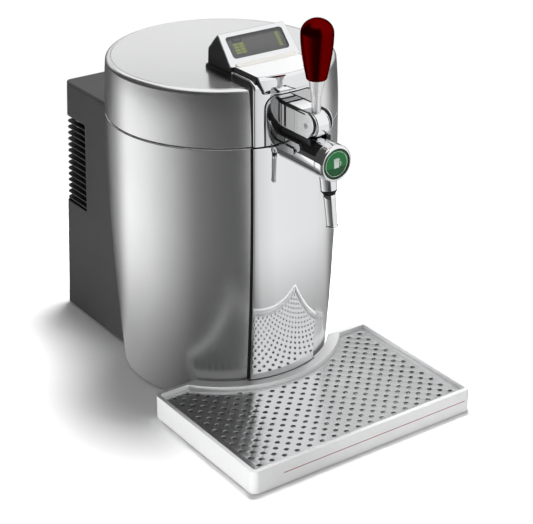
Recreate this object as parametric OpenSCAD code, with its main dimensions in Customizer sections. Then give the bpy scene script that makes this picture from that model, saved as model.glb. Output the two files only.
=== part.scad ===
// Counter-top dispenser for a five-litre keg: a cooled drum on feet, a hinged lid with a
// display head, a lever tap on a chrome column, an electronics housing behind, and a
// loose drip tray with a lift-out grid.
// The front is -Y and the floor is z = 0.  The origin is under the middle of the whole
// footprint, and the drum's own axis stands drum_y behind it.

/* [Drum] */
// Largest radius of the drum shell
belly_r = 125.2; // [120:0.1:132]
// Height at which the shell is widest
belly_z = 265; // [250:1:280]
// How much narrower the shell is at its bottom edge
foot_draw = 10.8; // [6:0.1:13]
// Height of the shell's bottom edge above the floor
shell_z = 3; // [2:0.5:5]
// Height of the shell's top edge
shell_top_z = 298.8; // [292:0.1:306]
// Wall of the shell
shell_wall = 2; // [1.2:0.1:3]
// Width of the opening in the shell behind the well
window_w = 152; // [130:1:156]
// Thickness of the base plate
base_t = 3; // [2:0.1:4]
// Diameter of a rubber foot under the drum
foot_d = 18; // [12:1:24]

/* [Keg well] */
// Radius of the well, inside
well_r = 88.5; // [87:0.1:92]
// Wall of the well
well_wall = 1.5; // [1:0.1:2]
// Height of the well's floor, inside
well_floor_z = 33.5; // [30:0.5:38]
// Thickness of the foam under the well
foam_t = 19.8; // [12:0.1:22]
// Height of the deck, from the well's flange to its top face
deck_h = 6.5; // [5:0.1:8]

/* [Lid] */
// Gap between the shell and the lid
seam_gap = 1.5; // [1:0.1:2.5]
// Height of the lid
lid_h = 60.3; // [55:0.1:70]
// How much narrower the lid is at its rim than at the seam
lid_draw = 2.6; // [1:0.1:5]
// Rounding of the lid's rim
rim_round = 5; // [3:0.1:7]
// Wall of the lid
lid_wall = 2.2; // [1.5:0.1:3]
// Radius of the hollow in the lid
liner_r = 95; // [92:0.5:98]
// Depth of the hollow in the lid
liner_h = 41; // [38:0.5:44]
// Diameter of the hinge pin
hinge_pin_d = 4; // [3:0.5:5]
// Radius of the hinge knuckles
knuckle_r = 5; // [4:0.5:6]

/* [Column and head] */
// Width of the chrome column
column_w = 84; // [76:1:90]
// How far the column stands out from the shell at the seam
column_out = 3.3; // [3:0.1:5]
// How much the column's front draws in from the seam to its foot
column_draw = 7; // [5:0.1:8]
// Gap between the drip tray's top and the column's foot
column_foot_gap = 0.35; // [0.3:0.05:5]
// Width of the arched tap plate
arch_w = 59.4; // [54:0.2:64]
// Height of the arched tap plate above the seam
arch_h = 52.2; // [48:0.1:53]
// Corner radius of the arch
arch_round = 12; // [6:0.5:16]
// Width of the chrome cap on the nose
nose_w = 76; // [66:1:78]
// Height of the nose's top above the lid
nose_h = 13.6; // [12:0.1:15]
// Length of the nose, from its crease back to the display
nose_len = 45.6; // [40:0.1:50]
// Length of the display's face, up its slope
face_len = 39; // [34:0.5:44]
// Slope of the display's face
face_tilt = 46; // [35:1:55]
// Width of the display's face at its lower edge
face_w = 85.6; // [80:0.2:90]
// How much narrower the face is at its upper edge
face_draw = 4.6; // [0:0.1:6]
// Width of the window in the display's face
window_face_w = 69.2; // [60:0.2:74]
// Height of that window, up the slope
window_face_h = 24.7; // [20:0.1:28]

/* [Tap] */
// Distance of the lever's pivot in front of the column
pivot_out = 40; // [36:0.5:46]
// Height of the lever's pivot above the seam
pivot_up = 31.7; // [30:0.1:33]
// Radius of the lever's hub
hub_r = 13.2; // [12:0.1:13.4]
// Width of the lever's hub
hub_w = 17.8; // [14:0.2:18]
// Diameter of the lever's pin
lever_pin_d = 5; // [4:0.5:6]
// Width of the tap's upper block
block_w = 24.8; // [23:0.2:27]
// Diameter of the lever's stem
stem_d = 9.6; // [8:0.1:11]
// Height at which the collar begins, above the pivot
collar_up = 30; // [26:0.5:34]
// Length of the collar under the handle
collar_len = 16; // [12:0.5:18]
// Length of the handle
handle_len = 61.5; // [55:0.5:70]
// Largest diameter of the handle
handle_d = 33; // [28:0.5:36]
// Diameter of the handle at its lower end
handle_foot_d = 21; // [18:0.5:24]
// Radius of the tap's round arm
arm_r = 18.9; // [18:0.1:20]
// Length of the arm, from the column to the end cap
arm_len = 62; // [58:0.5:66]
// Length of the end cap
cap_len = 13; // [11:0.1:15]
// Diameter of the badge
badge_d = 31; // [26:0.5:33]
// Bore of the arm for the beer line
line_d = 14; // [12:0.5:15]
// Forward lean of the spout
spout_tilt = 9.5; // [5:0.5:14]
// Diameter of the spout's tube at its top
spout_d = 12.5; // [11:0.1:13.5]
// Length of the spout's tube
spout_len = 32; // [26:0.5:38]

/* [Rear housing] */
// Width of the housing at the floor
housing_w = 178; // [172:1:190]
// How much narrower the housing is at its top
housing_w_draw = 18; // [10:1:24]
// Distance of the housing's back behind the drum's axis, at the floor
housing_y = 214; // [208:1:222]
// How much the back leans in at the top
housing_y_draw = 9; // [4:0.5:12]
// Height of the housing's top
housing_top_z = 287; // [282:1:290]
// Wall of the housing
housing_wall = 2.5; // [2:0.1:3]
// Height of the lowest louvre
louvre_z = 138; // [120:1:150]
// Number of louvre slots
louvre_n = 15; // [10:1:17]
// Pitch of the louvre slots
louvre_pitch = 7.4; // [6.5:0.1:8]
// Height of one louvre slot
louvre_slot = 4.2; // [3:0.1:5]
// Distance of the louvres' front end behind the drum's axis
louvre_y = 160; // [150:1:175]
// Side of the square fan
fan_w = 92; // [80:1:92]
// Number of fan blades
blade_n = 7; // [5:1:9]
// Number of heat sink fins
fin_n = 15; // [9:2:17]

/* [Drip tray] */
// Width of the drip tray
tray_w = 286; // [270:1:300]
// Distance of the tray's front edge before the drum's axis
tray_front = 264; // [245:1:280]
// Distance of the tray's back edge before the drum's axis
tray_back = 78; // [70:1:86]
// Height of the tray
tray_h = 27.85; // [24:0.05:28.2]
// Corner radius of the tray
tray_round = 8; // [6:0.5:14]
// Width of the tray's rim
rim_w = 5; // [4:0.5:7]
// Depth of the grid's face below the rim
grid_drop = 4.75; // [3:0.25:6]
// Thickness of the grid
grid_t = 1.6; // [1:0.1:2.5]
// Width of the ledge round the drum, behind the grid
ledge_w = 13.2; // [10:0.1:16]
// Diameter of a drain hole
hole_d = 5; // [3.5:0.1:6]
// Pitch of the drain holes
hole_pitch = 15.7; // [14:0.1:18]

/* [Hidden] */
$fn = 64;

// Clearance between pieces that seat on each other
seat_gap = 0.2;
// Clearance between pieces that move past each other
move_gap = 0.3;
// Radial clearance of a shaft that turns in its bore
run_gap = 0.05;
// Overshoot of a cutting solid past the surface it cuts
over = 1;
// Number of straight runs that make up a curved outline
curve_steps = 14;

drum_y = (tray_front - housing_y) / 2;
column_foot_z = tray_h + column_foot_gap;
seam_z = shell_top_z + seam_gap;
lid_top_z = seam_z + lid_h;
column_r = belly_r + column_out;
base_z = shell_z + base_t;
housing_tilt = atan(housing_y_draw / (housing_top_z - shell_z));

// Radius of the shell at a height
function shell_r(z) = belly_r - foot_draw * pow((belly_z - z) / (belly_z - shell_z), 2);
// Radius of the column's front at a height
function column_r_at(z) = column_r - column_draw * pow(max(0, belly_z - z)
    / (belly_z - column_foot_z), 2);
// Radius of the lid's side at a height
lid_foot_r = shell_r(shell_top_z);
lid_rim_r = lid_foot_r - lid_draw;
rim_z = lid_top_z - rim_round;
function lid_r(z) = lid_foot_r - lid_draw * pow((z - seam_z) / (rim_z - seam_z), 2);
// Back face of the housing at a height, and its half width there
function back_y(z) = housing_y - housing_y_draw * (z - shell_z) / (housing_top_z - shell_z);
function side_x(z) = (housing_w - housing_w_draw * (z - shell_z)
    / (housing_top_z - shell_z)) / 2;
// Evenly spaced values from a to b
function span(a, b, n = curve_steps) = [for (i = [0:n]) a + (b - a) * i / n];
// Points along an arc
function arc(c, r, a0, a1, n = 6) =
    [for (a = span(a0, a1, n)) [c[0] + r * cos(a), c[1] + r * sin(a)]];

module at_drum() translate([0, drum_y, 0]) children();
module revolve(points) rotate_extrude() polygon(points);
// A slab about the middle plane, in front of the drum's axis
module front_slab(w, z0, z1) translate([-w / 2, -2 * belly_r, z0])
    cube([w, 2 * belly_r, z1 - z0]);
module both_sides() {
    children();
    mirror([1, 0, 0]) children();
}
// A bar along X through a point of the side view
module along_x(y, z, d, w) translate([-w / 2, y, z]) rotate([0, 90, 0])
    cylinder(h = w, d = d);
// A bar along -Y from a point of the front view
module along_y(x, y, z, d, len) translate([x, y, z]) rotate([90, 0, 0])
    cylinder(h = len, d = d);
// A plate with its outline in the side view
module side_plate(points, w) rotate([90, 0, 90]) translate([0, 0, -w / 2])
    linear_extrude(w) polygon(points);
// Rectangle with round corners, centred in X, from y0 to y1
module rounded_rect(w, y0, y1, r) {
    translate([-w / 2 + r, y0]) square([w - 2 * r, y1 - y0]);
    translate([-w / 2, y0 + r]) square([w, y1 - y0 - 2 * r]);
    for (x = [-w / 2 + r, w / 2 - r], y = [y0 + r, y1 - r]) translate([x, y]) circle(r);
}
// Arch with a flat foot, in the front view
module arch(w, z0, z1, r) {
    translate([-w / 2, z0]) square([w, z1 - r - z0]);
    translate([-w / 2 + r, z0]) square([w - 2 * r, z1 - z0]);
    for (x = [-w / 2 + r, w / 2 - r]) translate([x, z1 - r]) circle(r);
}
module arch_block(w, z0, z1, r) rotate([90, 0, 0]) linear_extrude(2 * belly_r)
    arch(w, z0, z1, r);

// ---- Drum -------------------------------------------------------------------------

module base_outline() {
    circle(r = shell_r(shell_z) - shell_wall - 3 * seat_gap);
    translate([-window_w / 2 + seat_gap, 0]) square([window_w - 2 * seat_gap, base_rear_y]);
    rounded_rect(base_rear_w, base_step_y, base_rear_y, housing_round - housing_wall);
}
base_rear_w = 2 * (side_x(base_z) - housing_wall - 2 * seat_gap);
base_rear_y = back_y(base_z) - housing_wall - 2 * seat_gap;
// The wide rear part of the base plate begins behind the shell
base_step_y = 92;
foot_places = [[-62, -78], [62, -78], [-70, 190], [70, 190]];
foot_stud_d = foot_d / 3;

module base_pan() color("dimgray") at_drum() difference() {
    translate([0, 0, shell_z]) linear_extrude(base_t) base_outline();
    for (p = foot_places) translate([p[0], p[1], shell_z - over])
        cylinder(h = base_t + 2 * over, d = foot_stud_d + 2 * seat_gap);
}

module rubber_feet() color("black") at_drum() for (p = foot_places)
    translate([p[0], p[1], 0]) {
        cylinder(h = shell_z, d = foot_d);
        cylinder(h = base_z, d = foot_stud_d);
    }

module outer_shell() color("silver") at_drum() difference() {
    revolve(concat(
        [for (z = span(shell_z, shell_top_z)) [shell_r(z), z]],
        [for (z = span(shell_top_z, shell_z)) [shell_r(z) - shell_wall, z]]));
    translate([-window_w / 2, 0, 0]) cube([window_w, 2 * belly_r, window_top_z]);
}
window_top_z = housing_top_z - housing_wall - over;

gasket_t = 1.2;
gasket_side = 1.4;
module column_panel() color("gainsboro") at_drum() intersection() {
    revolve(concat(
        [for (z = span(column_foot_z, shell_top_z)) [column_r_at(z), z]],
        [for (z = span(shell_top_z, column_foot_z))
            [shell_r(z) + gasket_t + 2 * seat_gap, z]]));
    front_slab(column_w, 0, lid_top_z);
}

module column_gasket() color("black") at_drum() intersection() {
    revolve(concat(
        [for (z = span(column_foot_z, shell_top_z)) [shell_r(z) + seat_gap + gasket_t, z]],
        [for (z = span(shell_top_z, column_foot_z)) [shell_r(z) + seat_gap, z]]));
    front_slab(column_w + 2 * gasket_side, 0, lid_top_z);
}

// ---- Keg well and cooling ---------------------------------------------------------

well_top_z = shell_top_z - deck_h - 2.3;
flange_t = 1.5;
flange_w = 8;
module keg_well() color("lightgray") at_drum() revolve([
    [0, well_floor_z - well_wall], [well_r + well_wall, well_floor_z - well_wall],
    [well_r + well_wall, well_top_z - flange_t],
    [well_r + flange_w, well_top_z - flange_t], [well_r + flange_w, well_top_z],
    [well_r, well_top_z], [well_r, well_floor_z], [0, well_floor_z]]);

foam_in = well_r + well_wall + seat_gap;
foam_z = well_floor_z - well_wall - seat_gap - foam_t;
// Room between the foam's foot and the shell, where they are nearest
foam_room = 5.93;
foam_out = shell_r(foam_z) - shell_wall - foam_room;
block_w_cold = 44;
cold_z = 150;
cold_h = 80;
module cold_pocket(gap) translate([-block_w_cold / 2 - gap, 0, cold_z - gap])
    cube([block_w_cold + 2 * gap, 2 * well_r, cold_h + 2 * gap]);

module well_insulation() color("ivory") at_drum() difference() {
    revolve([[0, foam_z], [foam_out, foam_z],
        [foam_out, well_top_z - flange_t - seat_gap],
        [foam_in, well_top_z - flange_t - seat_gap],
        [foam_in, well_floor_z - well_wall - seat_gap],
        [0, well_floor_z - well_wall - seat_gap]]);
    cold_pocket(seat_gap);
}

deck_z = well_top_z + seat_gap;
deck_top_z = deck_z + deck_h;
deck_wall = 2.2;
deck_out = shell_r(shell_top_z) - shell_wall - move_gap;
module deck() color("whitesmoke") at_drum() revolve([
    [well_r, deck_z], [well_r + deck_wall, deck_z],
    [well_r + deck_wall, deck_top_z - deck_wall], [deck_out - deck_wall, deck_top_z - deck_wall],
    [deck_out - deck_wall, deck_z], [deck_out, deck_z],
    [deck_out, deck_top_z], [well_r, deck_top_z]]);

cold_y = 124;
module cold_block() color("lightsteelblue") at_drum() difference() {
    intersection() {
        cold_pocket(0);
        translate([-well_r, 0, 0]) cube([2 * well_r, cold_y, shell_top_z]);
    }
    cylinder(h = shell_top_z, r = foam_in);
}

peltier_w = 40;
peltier_t = 3.8;
cold_mid_z = cold_z + cold_h / 2;
module peltier_module() color("white") at_drum()
    translate([-peltier_w / 2, cold_y + seat_gap, cold_mid_z - peltier_w / 2])
        cube([peltier_w, peltier_t, peltier_w]);

sink_y = cold_y + peltier_t + 2 * seat_gap;
sink_w = 90;
sink_base = 6;
fin_t = 1.6;
fan_t = 25;
fan_z = cold_mid_z;
fan_back_y = back_y(fan_z + fan_w / 2) - housing_wall - move_gap;
fan_y = fan_back_y - fan_t;
module heat_sink() color("silver") at_drum() translate([0, 0, cold_mid_z - sink_w / 2]) {
    translate([-sink_w / 2, sink_y, 0]) cube([sink_w, sink_base, sink_w]);
    for (i = [0:fin_n - 1])
        translate([-sink_w / 2 + i * (sink_w - fin_t) / (fin_n - 1), sink_y, 0])
            cube([fin_t, fan_y - move_gap - sink_y, sink_w]);
}

fan_wall = 2.5;
fan_bore_r = fan_w / 2 - fan_wall;
fan_shaft_d = 3;
fan_hub_r = 17;
strut_t = 3;
module fan_frame() color("dimgray") at_drum() translate([0, fan_y, fan_z]) {
    difference() {
        translate([-fan_w / 2, 0, -fan_w / 2]) cube([fan_w, fan_t, fan_w]);
        along_y(0, fan_t + over, 0, 2 * fan_bore_r, fan_t + 2 * over);
    }
    along_y(0, fan_t, 0, 2 * fan_hub_r, strut_t);
    for (a = [45:90:315]) rotate([0, a, 0]) translate([-strut_t / 2, fan_t - strut_t, 0])
        cube([strut_t, strut_t, fan_bore_r + over]);
    along_y(0, fan_t - strut_t / 2, 0, fan_shaft_d, fan_t - strut_t / 2 - 3);
}

blade_tilt = 38;
rotor_t = fan_t - strut_t - 5;
module fan_rotor() color("black") at_drum() translate([0, fan_y, fan_z]) difference() {
    union() {
        along_y(0, 3 + rotor_t, 0, 2 * fan_hub_r, rotor_t);
        intersection() {
            difference() {
                along_y(0, 3 + rotor_t, 0, 2 * (fan_bore_r - 1.2), rotor_t);
                along_y(0, 4 + rotor_t, 0, 2 * (fan_hub_r - 1), rotor_t + 2);
            }
            for (i = [0:blade_n - 1]) rotate([0, i * 360 / blade_n, 0])
                translate([0, 3 + rotor_t / 2, fan_hub_r - 2]) rotate([0, 0, blade_tilt])
                    translate([-1, -fan_t, 0]) cube([2, 2 * fan_t, fan_bore_r]);
        }
    }
    along_y(0, fan_t, 0, fan_shaft_d + 2 * run_gap, fan_t + over);
}

// ---- Rear housing -----------------------------------------------------------------

housing_round = 7;
// A tapered block with round upright edges, drawn in from the housing's outside
module housing_block(inset, z0, z1) hull() for (z = [z0, z1]) {
    r = housing_round - inset;
    hw = side_x(z) - inset - r;
    back = back_y(z) - inset - r;
    for (x = [-hw, hw], y = [housing_round, back]) translate([x, y, z - (z == z1 ? 0.1 : 0)])
        cylinder(h = 0.1, r = r, $fn = 24);
}
louvre_wrap = 22;
grille_r = 43;

module rear_housing() color("#4a4a4a") at_drum() difference() {
    housing_block(0, shell_z, housing_top_z);
    housing_block(housing_wall, shell_z - over, housing_top_z - housing_wall);
    revolve([[0, 0], [shell_r(0) + move_gap, 0],
        for (z = span(shell_z, shell_top_z)) [shell_r(z) + move_gap, z], [0, shell_top_z]]);
    for (i = [0:louvre_n - 1]) {
        z = louvre_z + i * louvre_pitch;
        both_sides() translate([side_x(z) - louvre_wrap, louvre_y, z])
            cube([2 * louvre_wrap, housing_y, louvre_slot]);
        rise = z + louvre_slot / 2 - fan_z;
        if (abs(rise) < grille_r - louvre_slot) {
            half = sqrt(grille_r * grille_r - rise * rise);
            translate([-half, fan_back_y - 1, z])
                cube([2 * half, 2 * housing_wall + 8, louvre_slot]);
        }
    }
    on_back(inlet_x, inlet_z) translate([-inlet_w / 2, -2 * housing_wall, -inlet_h / 2])
        cube([inlet_w, 4 * housing_wall, inlet_h]);
    for (p = case_screw_places) on_back(p[0], p[1]) {
        along_y(0, over, 0, screw_d + 2 * seat_gap, 2 * housing_wall + 2 * over);
        along_y(0, over, 0, screw_head_d + 2 * seat_gap, over + 1.5);
    }
}

// A frame on the housing's leaning back, with local +Y pointing out of it
module on_back(x, z) translate([x, back_y(z), z]) rotate([housing_tilt, 0, 0]) children();

screw_d = 3.2;
screw_head_d = 6.4;
case_screw_in = 20;
case_screw_low_z = 24;
case_screw_drop = 19;
case_screw_places = [for (z = [case_screw_low_z, housing_top_z - case_screw_drop],
    s = [-1, 1]) [s * (side_x(z) - case_screw_in), z]];
module case_screws() color("silver") at_drum() for (p = case_screw_places)
    on_back(p[0], p[1]) {
        along_y(0, 0.4, 0, screw_head_d, 1.8);
        along_y(0, 0, 0, screw_d, 11);
    }

board_z = base_z + seat_gap;
// Room beside the board and the supply, on the base plate
board_side_room = 14;
board_w = 62;
board_h = 100;
board_t = 1.6;
board_back_room = 63;
relay = [14, 14, 16];
plug_row = [20, 10, 8];
capacitor_d = 9;
capacitor_len = 16;
cooling_strip = [44, 8, 5];
module control_board() color("darkgreen") at_drum()
    translate([-base_rear_w / 2 + board_side_room, base_rear_y - board_back_room, board_z]) {
        cube([board_w, board_t, board_h]);
        translate([board_w * 0.1, 0, board_h * 0.18]) cube(relay);
        translate([board_w * 0.48, 0, board_h * 0.12]) cube(plug_row);
        for (i = [1:3]) along_y(board_w * i / 4, capacitor_len, board_h * 0.6,
            capacitor_d, capacitor_len);
        translate([(board_w - cooling_strip[0]) / 2, board_t - cooling_strip[1], board_h * 0.78])
            cube(cooling_strip);
    }

supply = [66, 58, 42];
supply_back_room = 89;
transformer = [22, 26, 20];
choke = [16, 16, 12];
module power_supply() color("gray") at_drum()
    translate([base_rear_w / 2 - board_side_room - supply[0],
        base_rear_y - supply_back_room, board_z]) {
        cube(supply);
        translate([supply[0] * 0.1, supply[1] * 0.1, supply[2] - over])
            cube(transformer + [0, 0, over]);
        translate([supply[0] * 0.6, supply[1] * 0.24, supply[2] - over])
            cube(choke + [0, 0, over]);
    }

inlet_x = -34;
inlet_z = 62;
inlet_w = 52;
inlet_h = 24;
rocker_r = 9;
rocker_w = 11;
rocker_x = 14;
rocker_in = 8;
rocker_pin_d = 2;
module power_inlet() color("#222222") at_drum() on_back(inlet_x, inlet_z) difference() {
    union() {
        translate([-inlet_w / 2 + seat_gap, -20, -inlet_h / 2 + seat_gap])
            cube([inlet_w - 2 * seat_gap, 20, inlet_h - 2 * seat_gap]);
        translate([-inlet_w / 2 - 2, seat_gap, -inlet_h / 2 - 2])
            cube([inlet_w + 4, 0.9, inlet_h + 4]);
        translate([-inlet_w / 2 + seat_gap, -1, -inlet_h / 2 + seat_gap])
            cube([inlet_w - 2 * seat_gap, 2, inlet_h - 2 * seat_gap]);
    }
    // Socket for the mains lead, with its two pins left standing
    difference() {
        translate([-inlet_w / 2 + 5, -14, -5]) cube([20, 20, 10]);
        for (x = [-4, 4]) along_y(x - inlet_w / 2 + 15, -1, 0, 2.4, 15);
    }
    translate([rocker_x - rocker_w / 2 - move_gap, -rocker_in, 0]) rotate([0, 90, 0])
        cylinder(h = rocker_w + 2 * move_gap, r = rocker_r + move_gap);
    translate([rocker_x, 0, 0])
        along_x(-rocker_in, 0, rocker_pin_d + 2 * run_gap, rocker_w + 6 + 2 * run_gap);
}

// The rocker stays inside the circle that it swings through
module power_switch() color("black") at_drum() on_back(inlet_x, inlet_z)
    translate([rocker_x, 0, 0]) {
        difference() {
            along_x(-rocker_in, 0, 2 * rocker_r, rocker_w);
            for (s = [-1, 1]) translate([-rocker_w, 4.2, s * 1.5]) rotate([s * 14 - 7, 0, 0])
                translate([0, 0, s > 0 ? 0 : -2 * rocker_r])
                    cube([2 * rocker_w, rocker_r, 2 * rocker_r]);
            translate([-rocker_w, -rocker_in - 2 * rocker_r - 2, -rocker_r])
                cube([2 * rocker_w, 2 * rocker_r, 2 * rocker_r]);
        }
        along_x(-rocker_in, 0, rocker_pin_d, rocker_w + 6);
    }

// ---- Lid hinge --------------------------------------------------------------------

hinge_y = belly_r + knuckle_r + 0.8;
hinge_z = seam_z - 0.3;
hinge_w = 60;
lid_knuckle_w = 28;
bracket_t = 2.5;
module hinge_bracket() color("#3a3a3a") at_drum() difference() {
    union() {
        translate([-hinge_w / 2, hinge_y - knuckle_r, housing_top_z + seat_gap])
            cube([hinge_w, 4 * knuckle_r, bracket_t]);
        both_sides() difference() {
            union() {
                translate([hinge_w / 4 + lid_knuckle_w / 4 + move_gap / 2, 0, 0])
                    along_x(hinge_y, hinge_z, 2 * knuckle_r,
                        (hinge_w - lid_knuckle_w) / 2 - move_gap);
                translate([lid_knuckle_w / 2 + move_gap, hinge_y - knuckle_r,
                    housing_top_z + seat_gap])
                    cube([(hinge_w - lid_knuckle_w) / 2 - move_gap, 2 * knuckle_r,
                        hinge_z - housing_top_z - seat_gap]);
            }
        }
    }
    along_x(hinge_y, hinge_z, hinge_pin_d + 2 * run_gap, hinge_w + 2 * over);
    for (x = [-22, 0, 22]) translate([x, hinge_y + 2 * knuckle_r, housing_top_z])
        cylinder(h = 2 * bracket_t, d = screw_d);
}

module hinge_pin() color("silver") at_drum()
    along_x(hinge_y, hinge_z, hinge_pin_d, hinge_w + 3);

module lid_knuckle() color("#3a3a3a") at_drum() difference() {
    union() {
        along_x(hinge_y, hinge_z, 2 * knuckle_r, lid_knuckle_w);
        translate([-lid_knuckle_w / 2, lid_rim_r - 4, hinge_z + 0.8])
            cube([lid_knuckle_w, hinge_y - lid_rim_r + 4, knuckle_r + 4]);
    }
    along_x(hinge_y, hinge_z, hinge_pin_d + 2 * run_gap, lid_knuckle_w + 2 * over);
    revolve([[0, seam_z - knuckle_r - over], [lid_foot_r + seat_gap, seam_z - knuckle_r - over],
        for (z = span(seam_z, rim_z, 6)) [lid_r(z) + seat_gap, z], [0, rim_z]]);
}

// ---- Lid --------------------------------------------------------------------------

top_ledge = 4;
top_t = 2.2;
top_r = lid_rim_r - rim_round - 1.2;
notch_gap = 0.2;
module lid_notch(gap) arch_block(arch_w + 2 * gap, seam_z - 2 * over,
    seam_z + arch_h + gap + 0.1, arch_round + gap);

module lid_ring() color("silver") at_drum() difference() {
    revolve(concat(
        [for (z = span(seam_z, rim_z, 8)) [lid_r(z), z]],
        arc([lid_rim_r - rim_round, rim_z], rim_round, 10, 90, 8),
        [[top_r + seat_gap, lid_top_z], [top_r + seat_gap, lid_top_z - top_t - seat_gap],
        [top_r - top_ledge, lid_top_z - top_t - seat_gap],
        [top_r - top_ledge, lid_top_z - 2 * top_t - seat_gap],
        [lid_rim_r - rim_round, lid_top_z - 2 * top_t - seat_gap]],
        [for (z = span(rim_z - 2, seam_z, 8)) [lid_r(z) - lid_wall, z]]));
    lid_notch(notch_gap);
}

module lid_top() color("#c9cacb") at_drum() translate([0, 0, lid_top_z - top_t])
    cylinder(h = top_t, r = top_r);

// The column's upper part: it climbs the lid's front, rolls over the rim and runs back
// as two edge strips beside the nose
ribbon_round = 9;
ribbon_slope = 14;
ribbon_top_z = lid_top_z + 4.6;
pocket_z = lid_top_z - 4.6;
pocket_w = nose_w + 3.8;
display_y = -(column_r - nose_len);
module lid_column() color("gainsboro") at_drum() difference() {
    intersection() {
        revolve(concat(
            [for (z = span(rim_z, seam_z, 8)) [lid_r(z) + seat_gap, z]],
            [[column_r, seam_z], [column_r, ribbon_top_z - ribbon_round - 2]],
            arc([column_r - ribbon_round, ribbon_top_z - ribbon_round - 2],
                ribbon_round, 0, 90 - ribbon_slope, 6),
            [[well_r - 8, ribbon_top_z - 2 + (column_r - well_r) * tan(ribbon_slope)],
            [well_r - 8, lid_top_z + seat_gap],
            [lid_rim_r - rim_round, lid_top_z + seat_gap]],
            arc([lid_rim_r - rim_round, rim_z], rim_round + seat_gap, 84, 6, 6)));
        front_slab(column_w, 0, 2 * lid_top_z);
        translate([-column_w, -2 * belly_r, 0])
            cube([2 * column_w, 2 * belly_r + display_y - seat_gap, 2 * lid_top_z]);
    }
    lid_notch(notch_gap);
    translate([-pocket_w / 2, -2 * belly_r, pocket_z])
        cube([pocket_w, 2 * belly_r, lid_top_z]);
}

liner_t = 1.8;
liner_flange_r = lid_foot_r - lid_wall - 1;
// Room in the lid for the tap bracket, which stays on the drum
bracket_room_w = arch_w + 3;
bracket_room_y = -(liner_r + 8.5);
module bracket_room() {
    translate([-bracket_room_w / 2, bracket_room_y - 2 * liner_r, seam_z - over])
        cube([bracket_room_w, 2 * liner_r, arch_h + 2.4]);
    // Passage for the beer line
    translate([-line_d / 2, -2 * liner_r, seam_z - over])
        cube([line_d, 2 * liner_r - 60, line_d]);
}

module lid_liner() color("whitesmoke") at_drum() difference() {
    revolve([[liner_r, seam_z], [liner_flange_r, seam_z], [liner_flange_r, seam_z + 2],
        [liner_r + liner_t, seam_z + 2], [liner_r + liner_t, seam_z + liner_h + liner_t],
        [0, seam_z + liner_h + liner_t], [0, seam_z + liner_h],
        [liner_r, seam_z + liner_h]]);
    bracket_room();
}

foam_lid_z = seam_z + 2 + seat_gap;
foam_lid_top = lid_top_z - 2 * top_t - 2 * seat_gap;
module lid_foam() color("ivory") at_drum() difference() {
    revolve([[liner_r + liner_t + seat_gap, foam_lid_z],
        [lid_rim_r - lid_wall - 1, foam_lid_z], [lid_rim_r - lid_wall - 1, foam_lid_top - 4],
        [lid_rim_r - lid_wall - 5, foam_lid_top], [0, foam_lid_top],
        [0, seam_z + liner_h + liner_t + seat_gap],
        [liner_r + liner_t + seat_gap, seam_z + liner_h + liner_t + seat_gap]]);
    bracket_room();
}

seal_w = 4;
module lid_seal() color("black") at_drum() translate([0, 0, deck_top_z + move_gap])
    difference() {
        cylinder(h = seam_z - deck_top_z - move_gap - seat_gap, r = liner_r + 2.5 + seal_w);
        translate([0, 0, -over]) cylinder(h = 9, r = liner_r + 2.5);
    }

// ---- Display head and nose --------------------------------------------------------

strip_h = 5.4;
strip_over = 1.4;
frame_t = 2.2;
head_z = lid_top_z + nose_h - 0.2;
apex_y = display_y + face_len * cos(face_tilt);
apex_z = head_z + face_len * sin(face_tilt);
face_top_w = face_w - face_draw;
head_w = face_top_w - 0.4;
head_back_y = apex_y + 19.5;
back_fall = 20.6;
back_tilt = atan(back_fall / (head_back_y - apex_y));
back_len = sqrt(pow(back_fall, 2) + pow(head_back_y - apex_y, 2));
// Frame on the display's face: local Y runs up the slope and local Z points out of it
module on_face() translate([0, display_y, head_z]) rotate([face_tilt, 0, 0]) children();
// Frame on the head's back slope: local Y runs down it and local Z points out of it
module on_back_slope() translate([0, apex_y, apex_z]) rotate([-back_tilt, 0, 0]) children();
face_window_y = (face_len - window_face_h) / 2 + 1.4;
module face_window(w, h, r) translate([0, face_window_y + window_face_h / 2])
    rounded_rect(w, -h / 2, h / 2, r);

module head_housing() color("#222222") at_drum() difference() {
    union() {
        side_plate([[display_y + 0.8, lid_top_z + seat_gap], [display_y + 0.8, head_z],
            [apex_y, apex_z], [head_back_y, apex_z - back_fall],
            [head_back_y + 1, lid_top_z + seat_gap]], head_w);
        side_plate([[display_y + 0.2, lid_top_z + seat_gap],
            [display_y + 0.2, lid_top_z + strip_h],
            [head_back_y + strip_over, lid_top_z + strip_h],
            [head_back_y + 2 * strip_over, lid_top_z + seat_gap]], head_w + 2 * strip_over);
    }
    on_face() translate([-face_w, -face_len, -frame_t - seat_gap])
        cube([2 * face_w, 3 * face_len, 10 * frame_t]);
    on_back_slope() translate([-face_w, -face_len, -frame_t / 2 - seat_gap])
        cube([2 * face_w, 3 * face_len, 10 * frame_t]);
    on_face() translate([-face_pocket_w / 2, face_window_y - 2, -12])
        cube([face_pocket_w, window_face_h + 4, 12]);
}
face_pocket_w = window_face_w + 3;

// The frame runs up the face, over the apex and down the back as one folded band
ridge = face_tilt + back_tilt;
module head_frame() color("gainsboro") at_drum() on_face() difference() {
    side_plate([[0, 0], [face_len, 0],
        [face_len - back_len * cos(ridge), -back_len * sin(ridge)],
        [face_len - back_len * cos(ridge) - frame_t / 2 * sin(ridge),
            -back_len * sin(ridge) + frame_t / 2 * cos(ridge)],
        [face_len - ridge_in, -frame_t], [0, -frame_t]], face_w);
    both_sides() translate([0, 0, -2 * face_len]) linear_extrude(3 * face_len)
        polygon([[face_w / 2, 0], [face_top_w / 2, face_len],
            [face_top_w / 2, face_len + over], [face_w, face_len + over], [face_w, 0]]);
    translate([0, 0, -frame_t - over]) linear_extrude(frame_t + 2 * over)
        face_window(window_face_w, window_face_h, 3.4);
}
ridge_in = frame_t / 2 / sin(ridge) + frame_t / tan(ridge);

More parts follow.
